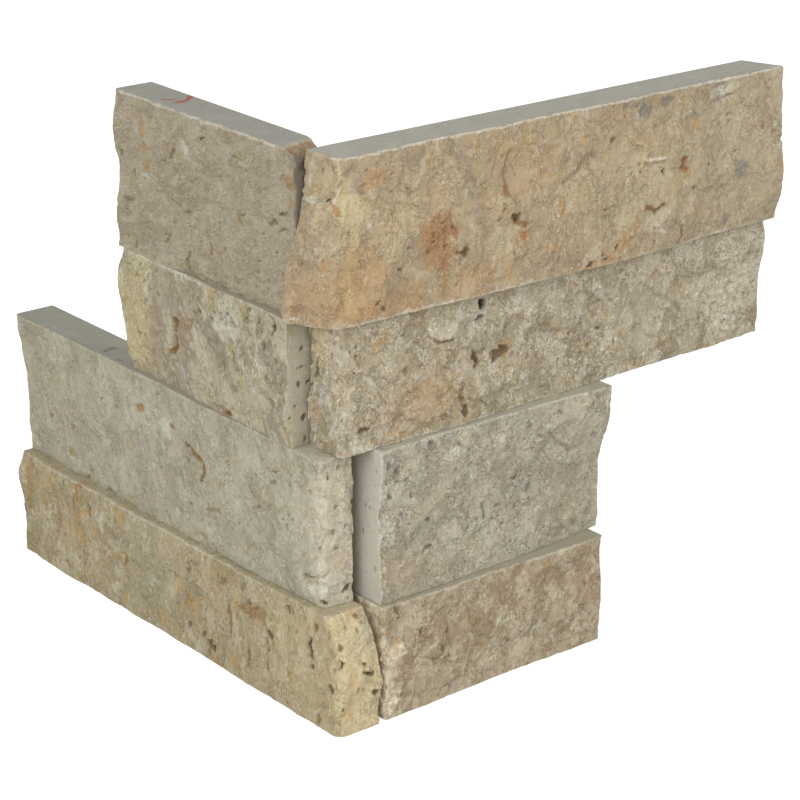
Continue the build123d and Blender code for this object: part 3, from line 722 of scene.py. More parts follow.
# Top course, right leg: peach travertine with rusty stains, the longest strip
peachStrip = {
    "label": "peachStrip", "node": "course_4_right_strip", "slot": "peach_travertine",
    "finish": "peach split travertine", "leg": "right", "splitEnd": True, "seed": 41,
    "wear": commonWear, "relief": commonRelief,
    "look": dict(
        commonLook, base="#a19176", pale="#c6c0ac", lean=12, stretch=1.4, sawn="#aeac9f", sawnCloud="#a4a295",
        clouds=[
            ("#968870", 9, 0.49, 0.55, 0.8), ("#b1a389", 7, 0.53, 0.59, 0.8),
            ("#ad8857", 5.5, 0.583, 0.647, 0.6), ("#876c50", 2.4, 0.61, 0.67, 0.6),
            ("#bdb8a3", 1.9, 0.625, 0.675, 0.6), ("#b1833e", 1.3, 0.665, 0.715, 0.5),
            ("#80807f", 0.9, 0.56, 0.64, 0.6, 12), ("#b07a32", 0.8, 0.55, 0.64, 0.45, 9),
            ("#5d5042", 0.6, 0.60, 0.66, 0.8, 8), ("#c8c4b5", 0.7, 0.58, 0.66, 0.6, 7),
        ]),
    "marks": [
        (30, 131, 84, 44, 0, 0.6, 0.0, "#b39e78", 0.4), (130, 130, 44, 46, 0, 0.6, 0.0, "#aaa187", 0.55),
        (95, 131, 46, 32, 0, 0.6, 0.0, "#b1a37f", 0.4), (-1, 118, 16, 18, 0, 0.6, 0.0, "#b08a5c", 0.55),
        (12, 112, 20, 7, 0, 0.6, 0.0, "#ae875a", 0.45), (36, 114, 14, 8, 10, 0.6, 0.0, "#ae8a5e", 0.45),
        (44, 122, 12, 8, 0, 0.6, 0.0, "#b5ac90", 0.5), (13, 133, 12, 16, -20, 0.6, 0.0, "#b9ad8a", 0.45),
        (50, 146, 16, 8, 0, 0.6, 0.0, "#b49a6c", 0.45), (-3.5, 137.5, 8, 14, 0, 0.3, 0.1, "#bdb18c", 0.9),
        (3, 147, 6, 6, 0, 0.5, 0.0, "#a97f50", 0.55),
        ([(-7.5, 151), (-7.5, 139)], 0.9, 0.4, 0.0, "#d2cbb8", 0.9),
        (2, 134, 1.5, 1.2, 0, 0.4, 0.0, "#cdc7b6", 0.8),
        *alike(0.4, 0.0, "#cdc7b6", 0.7, (4.6, 137, 1.3, 1.6), (2.8, 141, 1.2, 1)),
        (23, 126.5, 14, 12, -35, 0.5, 0.2, "#99693f", 0.7), (27, 130, 6, 6, 0, 0.5, 0.1, "#8f5f3c", 0.6),
        ([(27, 123), (25.5, 112)], 3, 0.5, 0.25, "#a0754d", 0.6),
        *alike(0.4, 0.3, "#6f4e33", 0.75, (22, 128, 1.3, 1.4), (26, 124, 1.4, 1)),
        (28.4, 129, 1.5, 1, 0, 0.4, 0.3, "#6f4e33", 0.7), (20.6, 124, 1, 1, 0, 0.4, 0.3, "#6f4e33", 0.75),
        (25, 131, 1.4, 0.9, 0, 0.4, 0.3, "#6f4e33", 0.7), (24, 118, 1, 1.3, 0, 0.4, 0.3, "#755437", 0.7),
        (15.5, 126.5, 5, 7, 0, 0.5, 0.0, "#958b79", 0.6),
        ([(31, 149), (34.5, 137), (37.8, 127)], 5, 0.5, 0.0, "#8f8572", 0.6),
        (36, 140, 2.6, 3, 0, 0.5, 0.2, "#7f6a4c", 0.65), (32, 122, 2.6, 3.2, 0, 0.3, 0.9, "#64452a", 0.9),
        (15, 140, 2.8, 2, 20, 0.5, 0.2, "#866a4a", 0.65), (10, 136, 2, 2.6, 0, 0.5, 0.2, "#866a4a", 0.6),
        *alike(0.3, 0.6, "#5a422c", 0.85, (12, 121, 1.7, 1.4), (4, 113.5, 1.5, 1.2)),
        (6.2, 112, 1.6, 1, 0, 0.3, 0.5, "#5f4830", 0.8), (14, 117, 5, 4, 0, 0.5, 0.1, "#917150", 0.55),
        (55, 139, 18, 12, 10, 0.2, 0.4, "#b0977a", 0.5),
        ([(47.5, 145), (46, 140), (48, 134)], 1.2, 0.4, 0.35, "#776449", 0.65),
        (46.4, 134.7, 1.7, 3.2, 20, 0.3, 0.5, "#a3682f", 0.85),
        (44.5, 131, 3.2, 2, 0, 0.4, 0.3, "#85563a", 0.65), (49, 128, 2.8, 2.3, -40, 0.25, 1.1, "#57361b", 0.92),
        ([(49.6, 126.7), (53, 124.6)], 1.2, 0.3, 0.7, "#84562c", 0.85),
        (52.6, 122, 2.2, 2.4, 0, 0.4, 0.2, "#a8713f", 0.65), (65, 127, 2.2, 5, 0, 0.4, 0.2, "#a67a4a", 0.7),
        ([(77, 140), (72, 137.5), (66, 134)], 1.4, 0.5, 0.3, "#7c6c54", 0.65),
        (83, 142.3, 2.2, 1.5, 0, 0.3, 0.7, "#74502f", 0.85),
        ([(94.5, 135), (98, 134.3), (102, 134.4)], 0.8, 0.4, -0.1, "#d0cab9", 0.85),
        ([(94.5, 133.7), (102, 133.2)], 1.0, 0.4, 0.4, "#85755c", 0.6),
        (101, 130.5, 1.9, 1.5, 0, 0.3, 0.8, "#55412b", 0.9),
        (109.5, 131.5, 3.2, 3.6, 0, 0.3, 0.9, "#8b5e32", 0.9),
        (113, 124.5, 1.6, 1.5, 0, 0.3, 0.4, "#7a5a38", 0.8), (97, 118.4, 10, 5, 0, 0.4, 0.1, "#bcb19b", 0.6),
        ([(94, 122.4), (97.5, 121.2), (101, 121.8)], 1.5, 0.35, 0.8, "#7c542c", 0.87),
        ([(100, 114.6), (102.2, 113.5)], 1.0, 0.4, 0.0, "#cfc9ba", 0.8),
        ([(108, 115), (108.3, 111.5), (107.6, 109.3)], 0.7, 0.4, 0.5, "#655440", 0.75),
        ([(73, 109.3), (80, 111), (86, 114), (91, 119)], 3.8, 0.6, 0.1, "#a9835a", 0.55),
        *alike(0.3, 0.6, "#55412c", 0.85, (75, 109.8, 1.5, 1.2), (80, 110.6, 1.5, 1)),
        (79, 112, 1.2, 1.1, 0, 0.3, 0.5, "#5b4733", 0.85), (84.3, 113, 1.2, 1.6, 0, 0.3, 0.6, "#5b4733", 0.85),
        (124.5, 148.5, 8.5, 3.8, 15, 0.3, 0.5, "#bfbbae", 0.65),
        ([(120.5, 146.6), (128.5, 147.6)], 1.0, 0.4, 0.4, "#80796a", 0.6),
        (95, 148.5, 5, 4, 0, 0.4, 0.6, "#67675f", 0.7), (88, 151, 2.6, 1.6, 0, 0.4, 0.3, "#6d6d66", 0.65),
        (104, 149.5, 5, 2.8, 0, 0.4, 0.5, "#6d6d66", 0.65), (123, 150.8, 3, 1.5, 0, 0.4, 0.3, "#6d6d66", 0.6),
        (114, 144, 4.2, 1.6, 0, 0.5, 0.25, "#72736e", 0.65), (131, 126.5, 5, 5, 20, 0.5, 0.1, "#6f7172", 0.6),
        (126.5, 113, 4.2, 2.4, 40, 0.4, 0.25, "#6d6f6f", 0.65),
        (118, 130.3, 1.3, 1.3, 0, 0.3, 0.4, "#504d47", 0.85),
        (139.5, 137, 1.9, 2.9, -25, 0.3, 0.7, "#96683a", 0.88),
        ([(119.5, 117), (121, 119), (123.5, 119), (124.5, 117), (123, 115),
         (120.5, 115)], 0.7, 0.5, 0.1, "#8d785b", 0.5),
        (146, 132, 4.5, 2.6, 0, 0.4, 1.0, "#8b7a60", 0.4),
        ([(-5, 109.1), (28, 109.1), (60, 109.1)], 0.9, 0.6, 0.0, "#d0c3b3", 0.55),
        ([(-10, 152.2), (60, 152.2), (146, 152.2)], 0.6, 0.6, 0.0, "#d6d1c4", 0.6),
        ([(107, 109.1), (128, 109.1)], 0.9, 0.6, 0.0, "#d0cabb", 0.5),
    ],
    "endMarks": [
        (7, 116, 18, 17, 0, 0.6, 0.0, "#ae8c63", 0.5), (7, 142, 16, 22, 0, 0.6, 0.0, "#b4a88a", 0.4),
        (3, 140, 4, 3, 0, 0.4, 0.0, "#c2bdab", 0.75), (2.5, 145, 2.6, 3.6, 0, 0.4, 0.0, "#c2bdab", 0.7),
        (2.5, 112, 1.5, 1.4, 0, 0.3, 0.3, "#9b6a38", 0.8), (3, 110.3, 2, 0.9, 0, 0.4, 0.0, "#cdc7b6", 0.75),
        ([(13, 150), (12.6, 130), (13, 112)], 2.6, 0.6, 0.0, "#b39f72", 0.5),
        ([(10, 151.5), (10, 148.3)], 0.9, 0.4, 0.15, "#7a5e3e", 0.75),
        ([(9.3, 141), (10.2, 139.5), (9.6, 138)], 0.8, 0.4, 0.15, "#a06f3c", 0.75),
    ],
}

# Top course, left leg: beige, fine grained, full of short dashes, its top broken at the corner
beigeStrip = {
    "label": "beigeStrip", "node": "course_4_left_strip", "slot": "beige_travertine",
    "finish": "beige split travertine", "leg": "left", "splitEnd": False, "seed": 42,
    "wear": sawnWear, "relief": dict(commonRelief, **{"Pit stretch": 2.4, "Pit share": 0.08}), "broken": "#8c683f",
    "look": dict(
        commonLook, base="#9e957f", pale="#c8c3b2", lean=-14, stretch=0.6, sawn="#a3a199",
        clouds=[
            ("#928771", 8, 0.49, 0.55, 0.8), ("#a69e8a", 6, 0.53, 0.59, 0.8), ("#a8905f", 5, 0.595, 0.665, 0.5),
            ("#7f6e5a", 1.9, 0.61, 0.67, 0.6), ("#b2ad9e", 1.6, 0.625, 0.675, 0.6),
            ("#99732d", 1.1, 0.683, 0.728, 0.5), ("#7c7b7a", 0.9, 0.57, 0.65, 0.6, 10),
            ("#926131", 0.7, 0.58, 0.66, 0.6, 9), ("#574a3c", 0.6, 0.60, 0.66, 0.8, 7),
            ("#c2bfb2", 0.7, 0.59, 0.67, 0.5, 7),
        ]),
    "marks": [
        (20, 130, 36, 44, 0, 0.6, 0.0, "#a09882", 0.3),
        ([(66.5, 147), (65.6, 140), (66, 133)], 2.0, 0.6, 0.1, "#a5824f", 0.6),
        (64, 135, 1.8, 2.6, 0, 0.4, 0.1, "#a5824f", 0.5), (39, 147, 1.4, 1.3, 0, 0.3, 0.6, "#463828", 0.9),
        (47, 143.5, 4, 3, 0, 0.4, 0.0, "#c3bdac", 0.7), (52, 141.5, 1.2, 3.2, 0, 0.4, 0.35, "#755a3a", 0.8),
        ([(22.5, 145.4), (27, 145.6)], 0.9, 0.4, 0.25, "#79664a", 0.75),
        (23, 147, 1.5, 0.9, 0, 0.4, 0.2, "#79664a", 0.7),
        *alike(0.4, 0.3, "#66553e", 0.75, (76, 136, 1.5, 2.2), (71, 131, 1.5, 1.7)),
        (67, 130.5, 4, 2, 0, 0.5, 0.0, "#b9bab4", 0.65),
        ([(62, 128), (54, 127.3), (47, 126)], 0.8, 0.5, 0.2, "#877961", 0.65),
        *alike(0.4, 0.25, "#755d3d", 0.75, ([(72.3, 123), (75.7, 123.2)], 0.9), ([(46, 126.3),
         (48.5, 125.5)], 0.9), ([(54, 118.6), (56.2, 115.6)], 0.9), ([(37, 119.7), (37, 116.5)], 0.9)),
        ([(47, 115.2), (47.2, 110)], 0.7, 0.4, 0.4, "#68573f", 0.75),
        (24, 130, 2, 4.2, 0, 0.4, 0.2, "#806546", 0.65), (50, 134, 1.2, 1.2, 0, 0.3, 0.4, "#55432e", 0.85),
        *alike(0.4, 0.25, "#665540", 0.75, (3, 123, 1, 0.9), (6, 119, 0.9, 1), (9, 124, 1, 1),
         (12, 116, 1.1, 0.9)),
        *alike(0.4, 0.25, "#665540", 0.7, (15, 121, 0.9, 1), (18, 113, 1.1, 1)),
        *alike(0.4, 0.25, "#665540", 0.75, (5, 114, 1, 1), (11, 112, 1, 0.9)),
        (16, 117.5, 1, 0.8, 0, 0.4, 0.25, "#665540", 0.7),
        *alike(0.4, 0.25, "#5d4a32", 0.8, ([(4, 135.6), (6.6, 134.7)], 0.9), ([(8, 132.6), (11, 131.6)], 0.9)),
        ([(5, 130.8), (7.6, 130.1)], 0.8, 0.4, 0.25, "#5d4a32", 0.75),
        (1.6, 144, 2.6, 5, 0, 0.5, 0.1, "#98713f", 0.65), (1.6, 138.6, 2.2, 3.2, 0, 0.5, 0.1, "#98713f", 0.6),
        *alike(0.4, 0.3, "#7c6141", 0.7, (71, 111, 2.2, 1.6), (76, 112, 1.9, 1.4)),
        (43, 109.4, 13, 1.6, 0, 0.5, 0.4, "#8c7b60", 0.45), (26, 109.4, 17, 1.3, 0, 0.5, 0.3, "#8c7b60", 0.4),
        ([(8, 152.1), (40, 152.1), (77, 152.1)], 0.8, 0.6, 0.0, "#d6d1c4", 0.5),
    ],
    "endMarks": [
        # both marks darken the sawn end at the corner: painted shade of the narrow groove it sits in, with some
        # stain
        (9, 138, 26, 50, 0, 0.2, 0.0, "#5f5447", 0.9), (8.5, 148, 1.8, 6, 5, 0.5, 0.3, "#3f3931", 0.7),
    ],
    # wax crayon
    "topMarks": [
        *alike(0.3, 0.0, "#b03a35", 0.9, ([(61.7, 8.2), (60.5, 7.5), (60.1, 6.1)], 1.3), ([(56.7, 7.6),
         (56.3, 6.3), (57.2, 4.1), (59.2, 1.5), (61, 0.2)], 1.3)),
    ],
}

# Third course, right leg: mottled cream and tan, set back, with a patch of coarse crystals
mottledStrip = {
    "label": "mottledStrip", "node": "course_3_right_strip", "slot": "mottled_travertine",
    "finish": "mottled split travertine", "leg": "right", "splitEnd": True, "seed": 31,
    "wear": commonWear, "relief": dict(commonRelief, **{"Crystal height": 2.4, "Flake height": 2.2}),
    "look": dict(
        commonLook, base="#a69b83", pale="#c8c3b2", lean=24, stretch=1.3, contrast=0.50,
        clouds=[
            ("#90856e", 7, 0.49, 0.55, 0.85), ("#b4ad9a", 5.5, 0.51, 0.57, 0.85),
            ("#ae8955", 5, 0.6, 0.66, 0.5), ("#77644c", 1.8, 0.61, 0.67, 0.6),
            ("#c8c0a6", 1.6, 0.608, 0.662, 0.65), ("#ab7d2c", 1.1, 0.683, 0.728, 0.5),
            ("#737271", 0.9, 0.56, 0.64, 0.65, 9), ("#ac7a24", 0.8, 0.56, 0.64, 0.45, 9),
            ("#4e4338", 0.6, 0.59, 0.65, 0.85, 7), ("#d0cdbf", 0.8, 0.56, 0.64, 0.7, 8),
        ]),
    "marks": [
        (20, 84, 32, 17, 0, 0.6, 0.05, "#a88a60", 0.55), (97, 92, 26, 30, 0, 0.6, 0.0, "#b5ae99", 0.4),
        (133, 91, 19, 23, 0, 0.4, 0.15, "#c2bba4", 0.75), (-2, 76, 5, 3, 0, 0.5, 0.0, "#ccc7b6", 0.65),
        (39.8, 105, 3.2, 2.6, 10, 0.25, 1.6, "#1f1812", 0.95),
        (39, 102, 1.8, 1.7, 0, 0.35, 0.8, "#46372a", 0.85),
        (27.6, 101, 8.5, 5.5, -18, 0.2, -0.35, "#c3bca4", 0.6),
        ([(22.5, 100.4), (26, 97.9), (30, 97.8)], 1.1, 0.4, 0.5, "#735636", 0.8),
        (38, 91, 2.2, 5.2, 10, 0.3, 1.1, "#553b23", 0.92), (46.5, 91, 5.2, 2.6, 25, 0.3, 1.1, "#5a4026", 0.92),
        (34, 77.5, 3.2, 2.6, 0, 0.3, 1.0, "#543d25", 0.92),
        ([(34, 78.5), (33.6, 81.5), (33, 85)], 1.1, 0.4, 0.6, "#755838", 0.8),
        (0.8, 80.5, 2.7, 2.2, 0, 0.3, 0.9, "#54402a", 0.88),
        *alike(0.3, 0.4, "#6e512f", 0.85, (14, 93.5, 1.5, 1.4), (20, 92.5, 1.5, 1.4), (83, 89, 1.6, 1.4)),
        *alike(0.4, 0.3, "#4d4234", 0.8, (-3, 101.6, 1.1, 1.1), (-1.5, 100, 1, 1)),
        *alike(0.4, 0.3, "#4d4234", 0.75, (-0.4, 102.4, 1, 0.9), (-2.3, 103.2, 1, 0.9)),
        *alike(0.4, 0.2, "#66665f", 0.75, (30, 87, 1.3, 1.2), (32, 86, 1.1, 1.1)),
        *alike(0.4, 0.2, "#66665f", 0.7, (73, 95, 1.5, 1.2), (76, 84, 1.3, 1.4), (76.3, 87.5, 1.2, 1.2),
         (76, 90, 1.2, 1.3), (79, 85, 1.3, 1.2), (86, 97, 1.5, 1.2), (112, 90, 1.5, 1.3), (115, 88, 1.3, 1.3),
         (119, 99, 1.5, 1.2), (121, 96, 1.3, 1.3), (131, 81, 1.5, 1.3)),
        (102, 102, 2.2, 2.2, 0, 0.4, 0.2, "#a9773c", 0.85),
        *alike(0.4, 0.2, "#a9773c", 0.8, (-7.2, 74.9, 2.2, 1.5), (3.6, 76.4, 2, 1.5)),
        ([(0, 74.4), (40, 74.4), (80, 74.4)], 0.8, 0.6, 0.0, "#ccc6b5", 0.45),
    ],
    "crystals": [(133, 91, 20, 24, 0, 0.4)],
    "endMarks": [
        (4.5, 102.5, 7, 13, 0, 0.3, -0.15, "#c3b68f", 0.7),
        ([(2, 98), (2.2, 94)], 1.0, 0.4, 0.3, "#5d4b36", 0.75), (9.5, 103, 6, 7, 0, 0.5, 0.0, "#c4b8a9", 0.6),
        (5.5, 90.5, 4, 10, 0, 0.5, 0.0, "#bbbab0", 0.65), (9, 82, 3.2, 4, 0, 0.4, 0.0, "#bebdb3", 0.7),
        (2.5, 86, 3.4, 9, 0, 0.5, 0.1, "#ab8b66", 0.5), (0.6, 91, 1.6, 1.6, 0, 0.3, 0.5, "#6b4f30", 0.85),
    ],
}

# Third course, left leg: cream with mauve bands across it, its sawn end showing at the corner
bandedStrip = {
    "label": "bandedStrip", "node": "course_3_left_strip", "slot": "banded_travertine",
    "finish": "banded split travertine", "leg": "left", "splitEnd": False, "seed": 32,
    "wear": sawnWear, "relief": dict(commonRelief, **{"Flake height": 2.2}),
    "look": dict(
        commonLook, base="#aaa289", pale="#c6c1b0", lean=-22, stretch=2.2, sawn="#a29a88", sawnCloud="#9a917e",
        clouds=[
            ("#928876", 8, 0.485, 0.535, 0.85), ("#b6b19c", 6, 0.525, 0.575, 0.8),
            ("#af9a5d", 5, 0.59, 0.65, 0.5), ("#736451", 1.8, 0.61, 0.67, 0.6),
            ("#c2beb2", 1.7, 0.618, 0.672, 0.6), ("#906324", 1.1, 0.683, 0.728, 0.5),
            ("#707274", 0.9, 0.57, 0.65, 0.6, 9), ("#92642a", 0.8, 0.57, 0.65, 0.6, 8),
            ("#51473c", 0.6, 0.60, 0.66, 0.8, 7), ("#ccc7ba", 0.8, 0.58, 0.66, 0.6, 7),
        ]),
    "marks": [
        (70, 91, 18, 42, 0, 0.5, 0.0, "#b6ab80", 0.7), (33, 91, 7.5, 9.5, 0, 0.5, 0.15, "#8b7b67", 0.55),
        ([(57, 109), (57.6, 101), (61, 89), (65.5, 74)], 9, 0.4, 0.25, "#978975", 0.7),
        ([(45, 109), (45.6, 98), (49.5, 86), (53.5, 74)], 7.5, 0.45, 0.25, "#948672", 0.7),
        *alike(0.4, 0.3, "#7a6140", 0.75, (69, 104, 2.2, 1.7), (71, 86, 2, 1.6), (64, 103, 1.8, 1.4)),
        (68, 86, 1.6, 1.4, 0, 0.4, 0.3, "#7a6140", 0.7),
        ([(49.8, 95.4), (50.3, 92.5), (51.2, 89.5), (52.3, 86.7)], 1.9, 0.3, 1.0, "#775729", 0.92),
        (54, 86, 1.9, 1.7, 0, 0.3, 0.6, "#886838", 0.85),
        ([(50, 83.2), (50, 79)], 1.2, 0.5, 0.0, "#b3b6b4", 0.6),
        *alike(0.4, 0.3, "#55544f", 0.8, (40, 98, 1.3, 1.2), (38.5, 101.5, 1.3, 1.2)),
        *alike(0.4, 0.3, "#55544f", 0.75, (32, 103, 1.2, 1.1), (26, 104, 1.3, 1.1), (33, 101, 1.2, 1.1),
         (29, 103, 1.2, 1.1)),
        *alike(0.5, 0.0, "#c3bfb0", 0.6, (27, 99.5, 10.5, 4.6), (41, 95, 3.2, 3.4)),
        (7.5, 105, 2.6, 6, 0, 0.3, 0.7, "#523e28", 0.88), (10, 100, 1.6, 1.9, 0, 0.3, 0.6, "#5a4630", 0.85),
        (14, 105, 1.7, 1.4, 0, 0.3, 0.5, "#5a4630", 0.85), (18, 107, 1.5, 1.2, 0, 0.3, 0.5, "#5a4630", 0.8),
        *alike(0.6, 0.3, "#6b655a", 0.65, (8.5, 84, 3.2, 3), (24.5, 83.5, 3.2, 2.5)),
        (29, 75.8, 4.4, 2.4, 0, 0.4, 0.7, "#9a7342", 0.75), (29.5, 75, 2.6, 1.1, 0, 0.4, 0.3, "#4a3a28", 0.75),
        ([(40, 108.4), (60, 108.4), (75, 108.4)], 0.9, 0.6, 0.0, "#d0cbbc", 0.5),
    ],
    "endMarks": [
        (11, 91, 7, 40, 0, 0.4, 0.0, "#b3ab98", 0.6), (13.2, 80, 2.2, 11, 0, 0.5, 0.0, "#bfb592", 0.6),
        (12, 105.7, 4.4, 3.4, 0, 0.5, 0.2, "#a58f68", 0.6),
        *alike(0.3, 0.5, "#6a5136", 0.85, (9.2, 100.5, 1.3, 1.2), (9, 95.5, 1.6, 0.9)),
        (10.8, 95.5, 0.9, 0.8, 0, 0.3, 0.5, "#6a5136", 0.8),
        (9.8, 91.3, 1.6, 1.5, 0, 0.3, 0.7, "#4d3a26", 0.88), (8, 91.5, 1, 0.9, 0, 0.3, 0.5, "#5a4530", 0.85),
        (6.8, 91.5, 0.9, 0.9, 0, 0.3, 0.5, "#5a4530", 0.8), (11, 85.7, 1, 0.9, 0, 0.3, 0.5, "#6a5136", 0.8),
        (8.7, 82, 1.4, 2, 0, 0.3, 0.6, "#5a4530", 0.85), (12.7, 83, 1, 0.9, 0, 0.3, 0.4, "#6a5136", 0.8),
        (8.8, 76, 1.7, 2.4, 0, 0.4, 0.6, "#5a4530", 0.8),
    ],
}

# Second course, left leg: pale grey cream, passes the corner
paleStrip = {
    "label": "paleStrip", "node": "course_2_left_strip", "slot": "pale_travertine",
    "finish": "pale split travertine", "leg": "left", "splitEnd": True, "seed": 22, "roughTop": 22,
    "wear": commonWear, "relief": commonRelief,
    "look": dict(
        commonLook, base="#a8a28e", pale="#c6c2b2", lean=-16, stretch=1.5, contrast=0.36,
        clouds=[
            ("#9a937f", 9, 0.49, 0.55, 0.8), ("#b2ae9a", 7, 0.53, 0.59, 0.8), ("#ae9560", 5, 0.61, 0.67, 0.5),
            ("#867e6d", 1.9, 0.61, 0.67, 0.55), ("#c3beb0", 1.7, 0.625, 0.675, 0.55),
            ("#90692b", 1.0, 0.693, 0.738, 0.5), ("#7a7a77", 0.9, 0.57, 0.65, 0.6, 10),
            ("#97732e", 0.8, 0.58, 0.66, 0.6, 9), ("#5c5449", 0.6, 0.61, 0.67, 0.8, 7),
            ("#cac6bc", 0.8, 0.59, 0.67, 0.55, 8),
        ]),
    "marks": [
        (122, 52, 64, 46, 0, 0.6, 0.0, "#a39c88", 0.5), (-2, 53, 15, 46, 0, 0.6, 0.0, "#b8b29c", 0.45),
        ([(49, 60.3), (47.3, 58.6), (45, 57), (43.6, 55.5), (43.2, 53.8),
         (44, 51.6)], 1.3, 0.35, 0.6, "#805b2c", 0.88),
        (60, 62, 5.2, 4.2, 0, 0.4, 0.0, "#c7c3b6", 0.7), (58, 62, 1.8, 2, 0, 0.3, 0.5, "#745534", 0.85),
        (72, 63.5, 5.2, 2, -30, 0.4, 0.35, "#8c6e3b", 0.8),
        *alike(0.3, 0.5, "#917038", 0.8, (112, 45, 2.1, 1.8), (98, 47, 2, 1.8)),
        (122, 46, 2, 1.6, 0, 0.3, 0.5, "#917038", 0.75),
        *alike(0.4, 0.35, "#897245", 0.65, (112, 37.5, 6.2, 2.2), (103, 35, 3.2, 2)),
        *alike(0.3, 0.5, "#76603f", 0.75, (93.5, 55, 1.8, 1.7), (50.5, 42, 1.8, 1.6)),
        ([(35, 44.3), (41, 43.8)], 1.5, 0.4, 0.4, "#7f6a48", 0.7),
        (62, 51, 3.2, 2.3, 0, 0.5, 0.0, "#b9bbb6", 0.65), (80, 33, 6.2, 2.8, 0, 0.5, 0.15, "#b7a87e", 0.65),
        (105, 32.2, 3.2, 1.6, 0, 0.4, 0.3, "#786240", 0.75), (92, 32.2, 3.2, 2.2, 0, 0.4, 1.1, "#706248", 0.65),
        (43, 34.5, 3.2, 2.1, 0, 0.4, 0.2, "#a0824e", 0.7), (47, 33, 4.2, 2.4, 0, 0.5, 0.0, "#c7c3b2", 0.65),
        *alike(0.4, 0.3, "#5d5b54", 0.8, (15, 67, 1.5, 1.3), (4, 63, 1.3, 1.2)),
        *alike(0.4, 0.3, "#5d5b54", 0.75, (2, 66, 1.2, 1.2), (20, 51, 1.5, 1.2), (17, 62, 1.3, 1.2)),
        *alike(0.4, 0.3, "#785d3a", 0.75, (10, 61, 1.7, 1.3), (-6, 57, 1.7, 1.5)),
        ([(-12, 42), (-6, 40.2), (0, 38.4)], 1.0, 0.4, 0.5, "#69502f", 0.82),
        (-5, 36, 7.2, 4, 0, 0.5, 0.0, "#cbc6b5", 0.65), (-8, 33, 2.1, 1.5, 0, 0.4, 0.4, "#55462f", 0.8),
        (82, 70, 14, 5, 0, 0.6, 0.0, "#b3ad9b", 0.5), (30, 40, 16, 9, 10, 0.6, 0.1, "#9c937d", 0.5),
    ],
    "endMarks": [
        (7, 53, 20, 50, 0, 0.4, 0.0, "#cbc3ae", 0.65),
        ([(3, 72), (5, 64), (3.6, 56)], 1.6, 0.6, -0.1, "#c9c1a6", 0.6),
        ([(9, 66), (10.5, 58), (9.4, 50), (10.6, 43)], 1.5, 0.6, -0.1, "#c9c1a6", 0.55),
        (4, 45, 5, 7, 0, 0.6, 0.0, "#b29a78", 0.5), (10.5, 38, 4, 5, 0, 0.4, 0.0, "#ccc8ba", 0.65),
        *alike(0.3, 0.4, "#77593a", 0.8, (5.5, 70.5, 1.6, 1.4), (10.7, 69, 1.5, 1.3), (6.2, 60.5, 1.4, 1.3)),
        *alike(0.3, 0.4, "#77593a", 0.75, (7, 53.3, 1.4, 1.3), (3, 53.5, 1.3, 1.3)),
        *alike(0.4, 0.2, "#7a7a75", 0.7, (12, 48, 2.2, 1.8), (6.5, 48.5, 1.8, 1.5)),
        (2, 35.5, 2, 1.7, 0, 0.3, 0.7, "#5b432a", 0.88), (9.5, 33, 1.2, 1.1, 0, 0.3, 0.4, "#2f2a24", 0.85),
        (8.5, 32.4, 1.1, 0.9, 0, 0.3, 0.4, "#2f2a24", 0.8),
        *alike(0.4, 0.1, "#7c7c77", 0.65, (0.5, 60, 1.2, 4), (0.5, 52, 1.2, 4)),
    ],
    "topMarks": [
        ([(91.9, 10.3), (92, 9.2), (92.9, 7.6), (92.5, 6.4)], 1.1, 0.4, 0.0, "#75583a", 0.75),
        ([(84, 10.8), (82.7, 10.5)], 0.9, 0.4, 0.0, "#75583a", 0.7),
        ([(-8, 12), (10, 12.5), (22, 13)], 6, 0.5, 0.0, "#b5ac94", 0.6),
    ],
}

